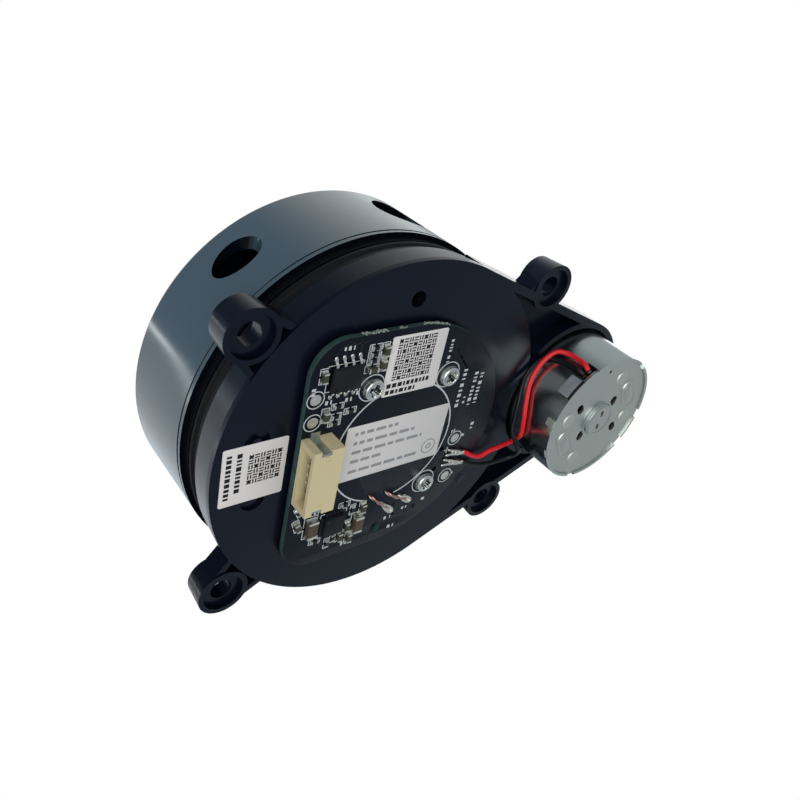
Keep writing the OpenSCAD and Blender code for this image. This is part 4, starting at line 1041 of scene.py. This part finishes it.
def coil_leads():
    """Each lead is two strands twisted round each other."""
    shape = Shape()
    for stations in COIL_LEADS:
        middle = spline(stations, 6)
        last = len(middle) - 1
        for phase in (0, math.pi):
            path = []
            for i, p in enumerate(middle):
                turn = 2 * math.pi * 2.2 * (i / last) + phase
                ahead = (middle[min(i + 1, last)] - middle[max(i - 1, 0)]).normalized()
                side = ahead.cross(Vector((0.3, 0.2, 0.9))).normalized()
                up = ahead.cross(side)
                path.append(p + 0.14 * (math.cos(turn) * side + math.sin(turn) * up))
            shape.tube(path, 0.15, 10)
    shape.build("coil_lead_pair", ["coil_copper"], ["coil_leads"], 60)


def motor_wire(colour, stations, radius):
    """Jacket with a stub of tinned core at the board end."""
    shape = Shape()
    shape.tube(spline(stations, 6), lambda t: radius * (1 + 0.02 * math.sin(55 * t)), 18,
               domed=False)
    end = Vector(stations[0])
    ahead = (Vector(stations[1]) - end).normalized()
    shape.tube([end - ahead * 0.5, end + ahead * 0.6], radius * 0.62, mat=1)
    shape.build(f"wire_{colour}_jacket", [f"wire_{colour}", "solder_tin"],
                [f"motor_wire_{colour}"], 60)


# ------------------------------------------------------------------ motor details
MOTOR_X = 39.1


def cap_pressings():
    shape = Shape()
    # round pads, in the lighter zinc as a painted highlight: radius, z
    pad = [(1.32, -9.19), (1.26, -9.33), (1.12, -9.42), (0.8, -9.455), (0.0, -9.465)]
    for angle in (-170, 10, -70, 110):
        x, y = polar(8.2, angle)
        shape.lathe(pad, 40, 1, at(MOTOR_X + x, y))
    # long pads: end radius, share of the full length, z
    long_pad = ((1.62, 1, -9.19), (1.56, 1, -9.36), (1.46, 1, -9.43), (1.3, 1, -9.43),
                (1.16, 1, -9.37), (0.98, 0.98, -9.35), (0.8, 0.9, -9.38), (0.62, 0.7, -9.44),
                (0.36, 0.6, -9.465), (0.02, 0.5, -9.47))
    for angle in (-29, 151):
        rows = []
        for radius, share, z in long_pad:
            half = 1.55 * share
            outline = arc(0, half, radius, 0, 180, 10) + arc(0, -half, radius, 180, 360, 10)
            rows.append(lift(outline, z))
        x, y = polar(7.7, angle)
        shape.stack(rows, 0, at(MOTOR_X + x, y, 0, angle))
    # turned boss with a sharp rolled rim round the shaft end: radius, z
    boss = [(2.3, -9.88), (2.5, -9.9), (2.62, -9.96), (2.95, -9.96), (3.1, -9.9), (3.16, -9.78),
            (3.2, -9.36), (3.34, -9.24), (3.6, -9.2), (3.6, -9.1), (2.3, -9.6)]
    shape.ring(boss, 72, 2, at(MOTOR_X, 0))
    shape.build("cap_pressings", ["motor_cap_zinc", "motor_cap_lighter_zinc", "motor_boss_turned"])


# radii, angles, z range, steps, material number: a flat pad, ribs and a low folded contact
BRUSH_HOLDER_BANDS = (
    ((12.3, 12.66), (-148.4, -131.6), (-9.1, -6.98), 16, 0),
    ((12.6, 12.84), (-148.0, -145.6), (-9.0, -7.1), 4, 0),
    ((12.6, 12.8), (-142.4, -132.4), (-7.55, -7.1), 10, 0),
    ((12.6, 12.74), (-141.6, -134.0), (-8.8, -8.1), 8, 0),
    ((12.15, 12.5), (-174.5, -168.5), (-9.45, -8.0), 8, 1))


def brush_holder():
    """Moulded window of the brush holder."""
    shape = Shape()
    for band in BRUSH_HOLDER_BANDS:
        shape.arc_band(*band, at(MOTOR_X, 0))
    shape.build("brush_holder_face", ["brush_holder_grey", "motor_cap_lighter_zinc"])


# ------------------------------------------------------------------ studio (metres)
# the camera's own axes and place, and the point the lights aim at
RIGHT = Vector((0.7855993, -0.1969459, -0.5865544))
DOWN = Vector((-0.1904311, 0.8250109, -0.5320649))
INTO = Vector((0.5887017, 0.5296880, 0.6106234))
EYE = Vector((-69.86, -70.24, -73.16)) * MM
MIDDLE = Vector((10, 0, 6)) * MM


def world():
    """Soft dome, uneven with direction; plain white where the camera looks past the object."""
    studio = bpy.data.worlds.new("studio")
    scene.world = studio
    graph = Graph(studio)
    maths, multiply = graph.maths, graph.multiply
    direction = graph.split(graph.add("TexCoord", {}).outputs["Generated"])
    azimuth, z = maths("ARCTAN2", direction[1], direction[0]), direction[2]

    def fade(value, start, end, low=0.0, high=1.0):
        """Smooth step from low at start to high at end; start may be the larger."""
        if start > end:
            start, end, low, high = end, start, high, low
        return graph.remap(value, start, end, low, high, interpolation_type="SMOOTHSTEP")

    def turn(start, end):
        return fade(azimuth, math.radians(start), math.radians(end))

    up = fade(z, -0.05, 0.05)
    down = fade(z, 0.05, -0.05)
    deep = fade(z, -0.43, -0.58)
    open_side = multiply(turn(-98, -50), turn(62, 26))
    high = fade(z, 0.56, 0.65)
    # one lobe ends on a sharp slanted edge, azimuth 150 to 166.5 degrees
    degrees = maths("MULTIPLY", azimuth, 180 / math.pi)
    past_edge = maths("SUBTRACT", degrees, fade(z, 0.70, 0.80, 150.0, 166.5))
    past_edge = maths("WRAP", past_edge, 180.0, -180.0)
    edge = fade(past_edge, 0.6, -0.6)
    top_off = fade(z, 0.97, 0.86)
    left = multiply(turn(52, 96), edge, fade(z, 0.5, 0.6))
    closed_side = maths("SUBTRACT", 1.0, open_side)
    dark_side = maths("SUBTRACT", closed_side, multiply(left, 0.75))
    both_lobes = maths("ADD", multiply(left, 0.66), multiply(turn(-98, -36), turn(20, -5), 0.74))
    lobes = multiply(both_lobes, high, top_off)
    streak = multiply(fade(past_edge, -4.2, -2.6), fade(past_edge, 0.6, -0.6), turn(90, 100),
                      fade(z, 0.5, 0.6), top_off)
    # colour, strength
    layers = (
        ((0.70, 0.78, 0.92), multiply(deep, 0.42)),
        ((0.91, 1.0, 0.98), multiply(down, fade(z, -0.58, -0.43), 0.50)),
        ((0.92, 0.98, 1.0), multiply(up, open_side, 0.46)),
        ((0.60, 0.78, 1.0), multiply(up, dark_side, maths("ADD", multiply(high, 0.7), 0.1))),
        ((0.97, 1.0, 1.0), multiply(lobes, 1.35)),
        ((0.96, 1.0, 1.0), multiply(streak, 6.5)))
    total = None
    for colour, strength in layers:
        layer = graph.add("Background", {0: (*colour, 1), 1: strength}).outputs[0]
        total = graph.add("AddShader", {0: total, 1: layer}).outputs[0] if total else layer
    white = graph.add("Background", {0: (1, 1, 1, 1)}).outputs[0]
    seen = graph.add("LightPath", {}).outputs["Is Camera Ray"]
    dome = graph.add("MixShader", {0: seen, 1: total, 2: white})
    graph.add("OutputWorld", {0: dome.outputs[0]})


def camera():
    lens = bpy.data.cameras.new("camera")
    lens.sensor_width = 36
    lens.lens = 36.262
    lens.clip_start = 0.005
    lens.clip_end = 20
    obj = bpy.data.objects.new("camera", lens)
    pose = Matrix((RIGHT, -DOWN, -INTO)).transposed().to_4x4()
    pose.translation = EYE
    obj.matrix_world = pose
    scene.collection.objects.link(obj)
    scene.camera = obj


def floor(z, half=1.6, cells=24):
    bm = bmesh.new()
    ticks = [-half + 2 * half * i / cells for i in range(cells + 1)]
    grid = [[bm.verts.new((x, y, z)) for y in ticks] for x in ticks]
    for i in range(cells):
        for j in range(cells):
            bm.faces.new((grid[i][j], grid[i + 1][j], grid[i + 1][j + 1], grid[i][j + 1]))
    mesh = bpy.data.meshes.new("floor")
    bm.to_mesh(mesh)
    bm.free()
    obj = bpy.data.objects.new("floor", mesh)
    scene.collection.objects.link(obj)
    material = bpy.data.materials.new("floor_pale")
    graph = Graph(material)
    pale = graph.add("BsdfPrincipled", {
        "Base Color": (0.44, 0.42, 0.4, 1), "Roughness": 0.85, "Specular IOR Level": 0.1,
        "Emission Color": (1.0, 0.97, 0.94, 1), "Emission Strength": 0.42}).outputs[0]
    # from above the floor takes the object's soft shadow; from below it is clear
    clear = graph.add("BsdfTransparent", {}).outputs[0]
    mixed = graph.add("MixShader", {0: graph.geometry("Backfacing"), 1: pale, 2: clear})
    graph.add("OutputMaterial", {0: mixed.outputs[0]})
    obj.visible_diffuse = False
    obj.visible_glossy = False
    obj.visible_transmission = False
    obj.visible_shadow = False
    mesh.materials.append(material)


def soft_box(name, place, size, radiance, colour=(1, 1, 1)):
    """Square light given by its own brightness, so its reflection keeps when it is resized."""
    light = bpy.data.lights.new(name, "AREA")
    light.shape = "RECTANGLE"
    light.size = size
    light.size_y = size
    light.energy = radiance * math.pi * size * size
    light.color = colour
    obj = bpy.data.objects.new(name, light)
    obj.location = place
    obj.rotation_mode = "QUATERNION"
    obj.rotation_quaternion = (MIDDLE - place).to_track_quat("-Z", "Y")
    obj.visible_camera = False
    scene.collection.objects.link(obj)


def soften(node, width):
    """Rounds a CAD node's sharp edges with a modifier; its mesh is left alone."""
    bevel = CAD[node].modifiers.new("edge_round", "BEVEL")
    bevel.width = width * MM
    bevel.segments = 2
    bevel.limit_method = "ANGLE"
    bevel.angle_limit = math.radians(30)
    bevel.miter_outer = "MITER_ARC"
    bevel.use_clamp_overlap = True
    bevel.harden_normals = True


# ------------------------------------------------------------------ build
paint_cad()
board_panel()
edge_fibres()
board_screws()
board_ink()
board_tracks()
round_pads()
driver_chip()
driver_legs()
controller_chip()
small_parts()
labels()
label_marks()
rating_marks()
solder_beads()
coil_leads()
motor_wire("red", RED_WIRE, radius=0.43)
motor_wire("black", BLACK_WIRE, radius=0.39)
cap_pressings()
brush_holder()

scene.view_settings.view_transform = "Standard"
world()
camera()
floor(cad_box[0].z - 0.0002)
# one soft box in front of the board side, one high at the side for the other views
soft_box("front_box", MIDDLE + RIGHT * 0.03 + DOWN * 0.10 + INTO * -0.42, size=0.46,
         radiance=2.35, colour=(1.0, 0.965, 0.92))
soft_box("side_box", Vector((0.5, 0.2, 0.25)), size=0.35, radiance=1.6)

# edge rounding in millimetres
for node, width in (("base_housing", 0.14), ("plug_socket", 0.1), ("motor_end_cap", 0.07),
                    ("motor_can", 0.08), ("turret_cover", 0.12)):
    soften(node, width)
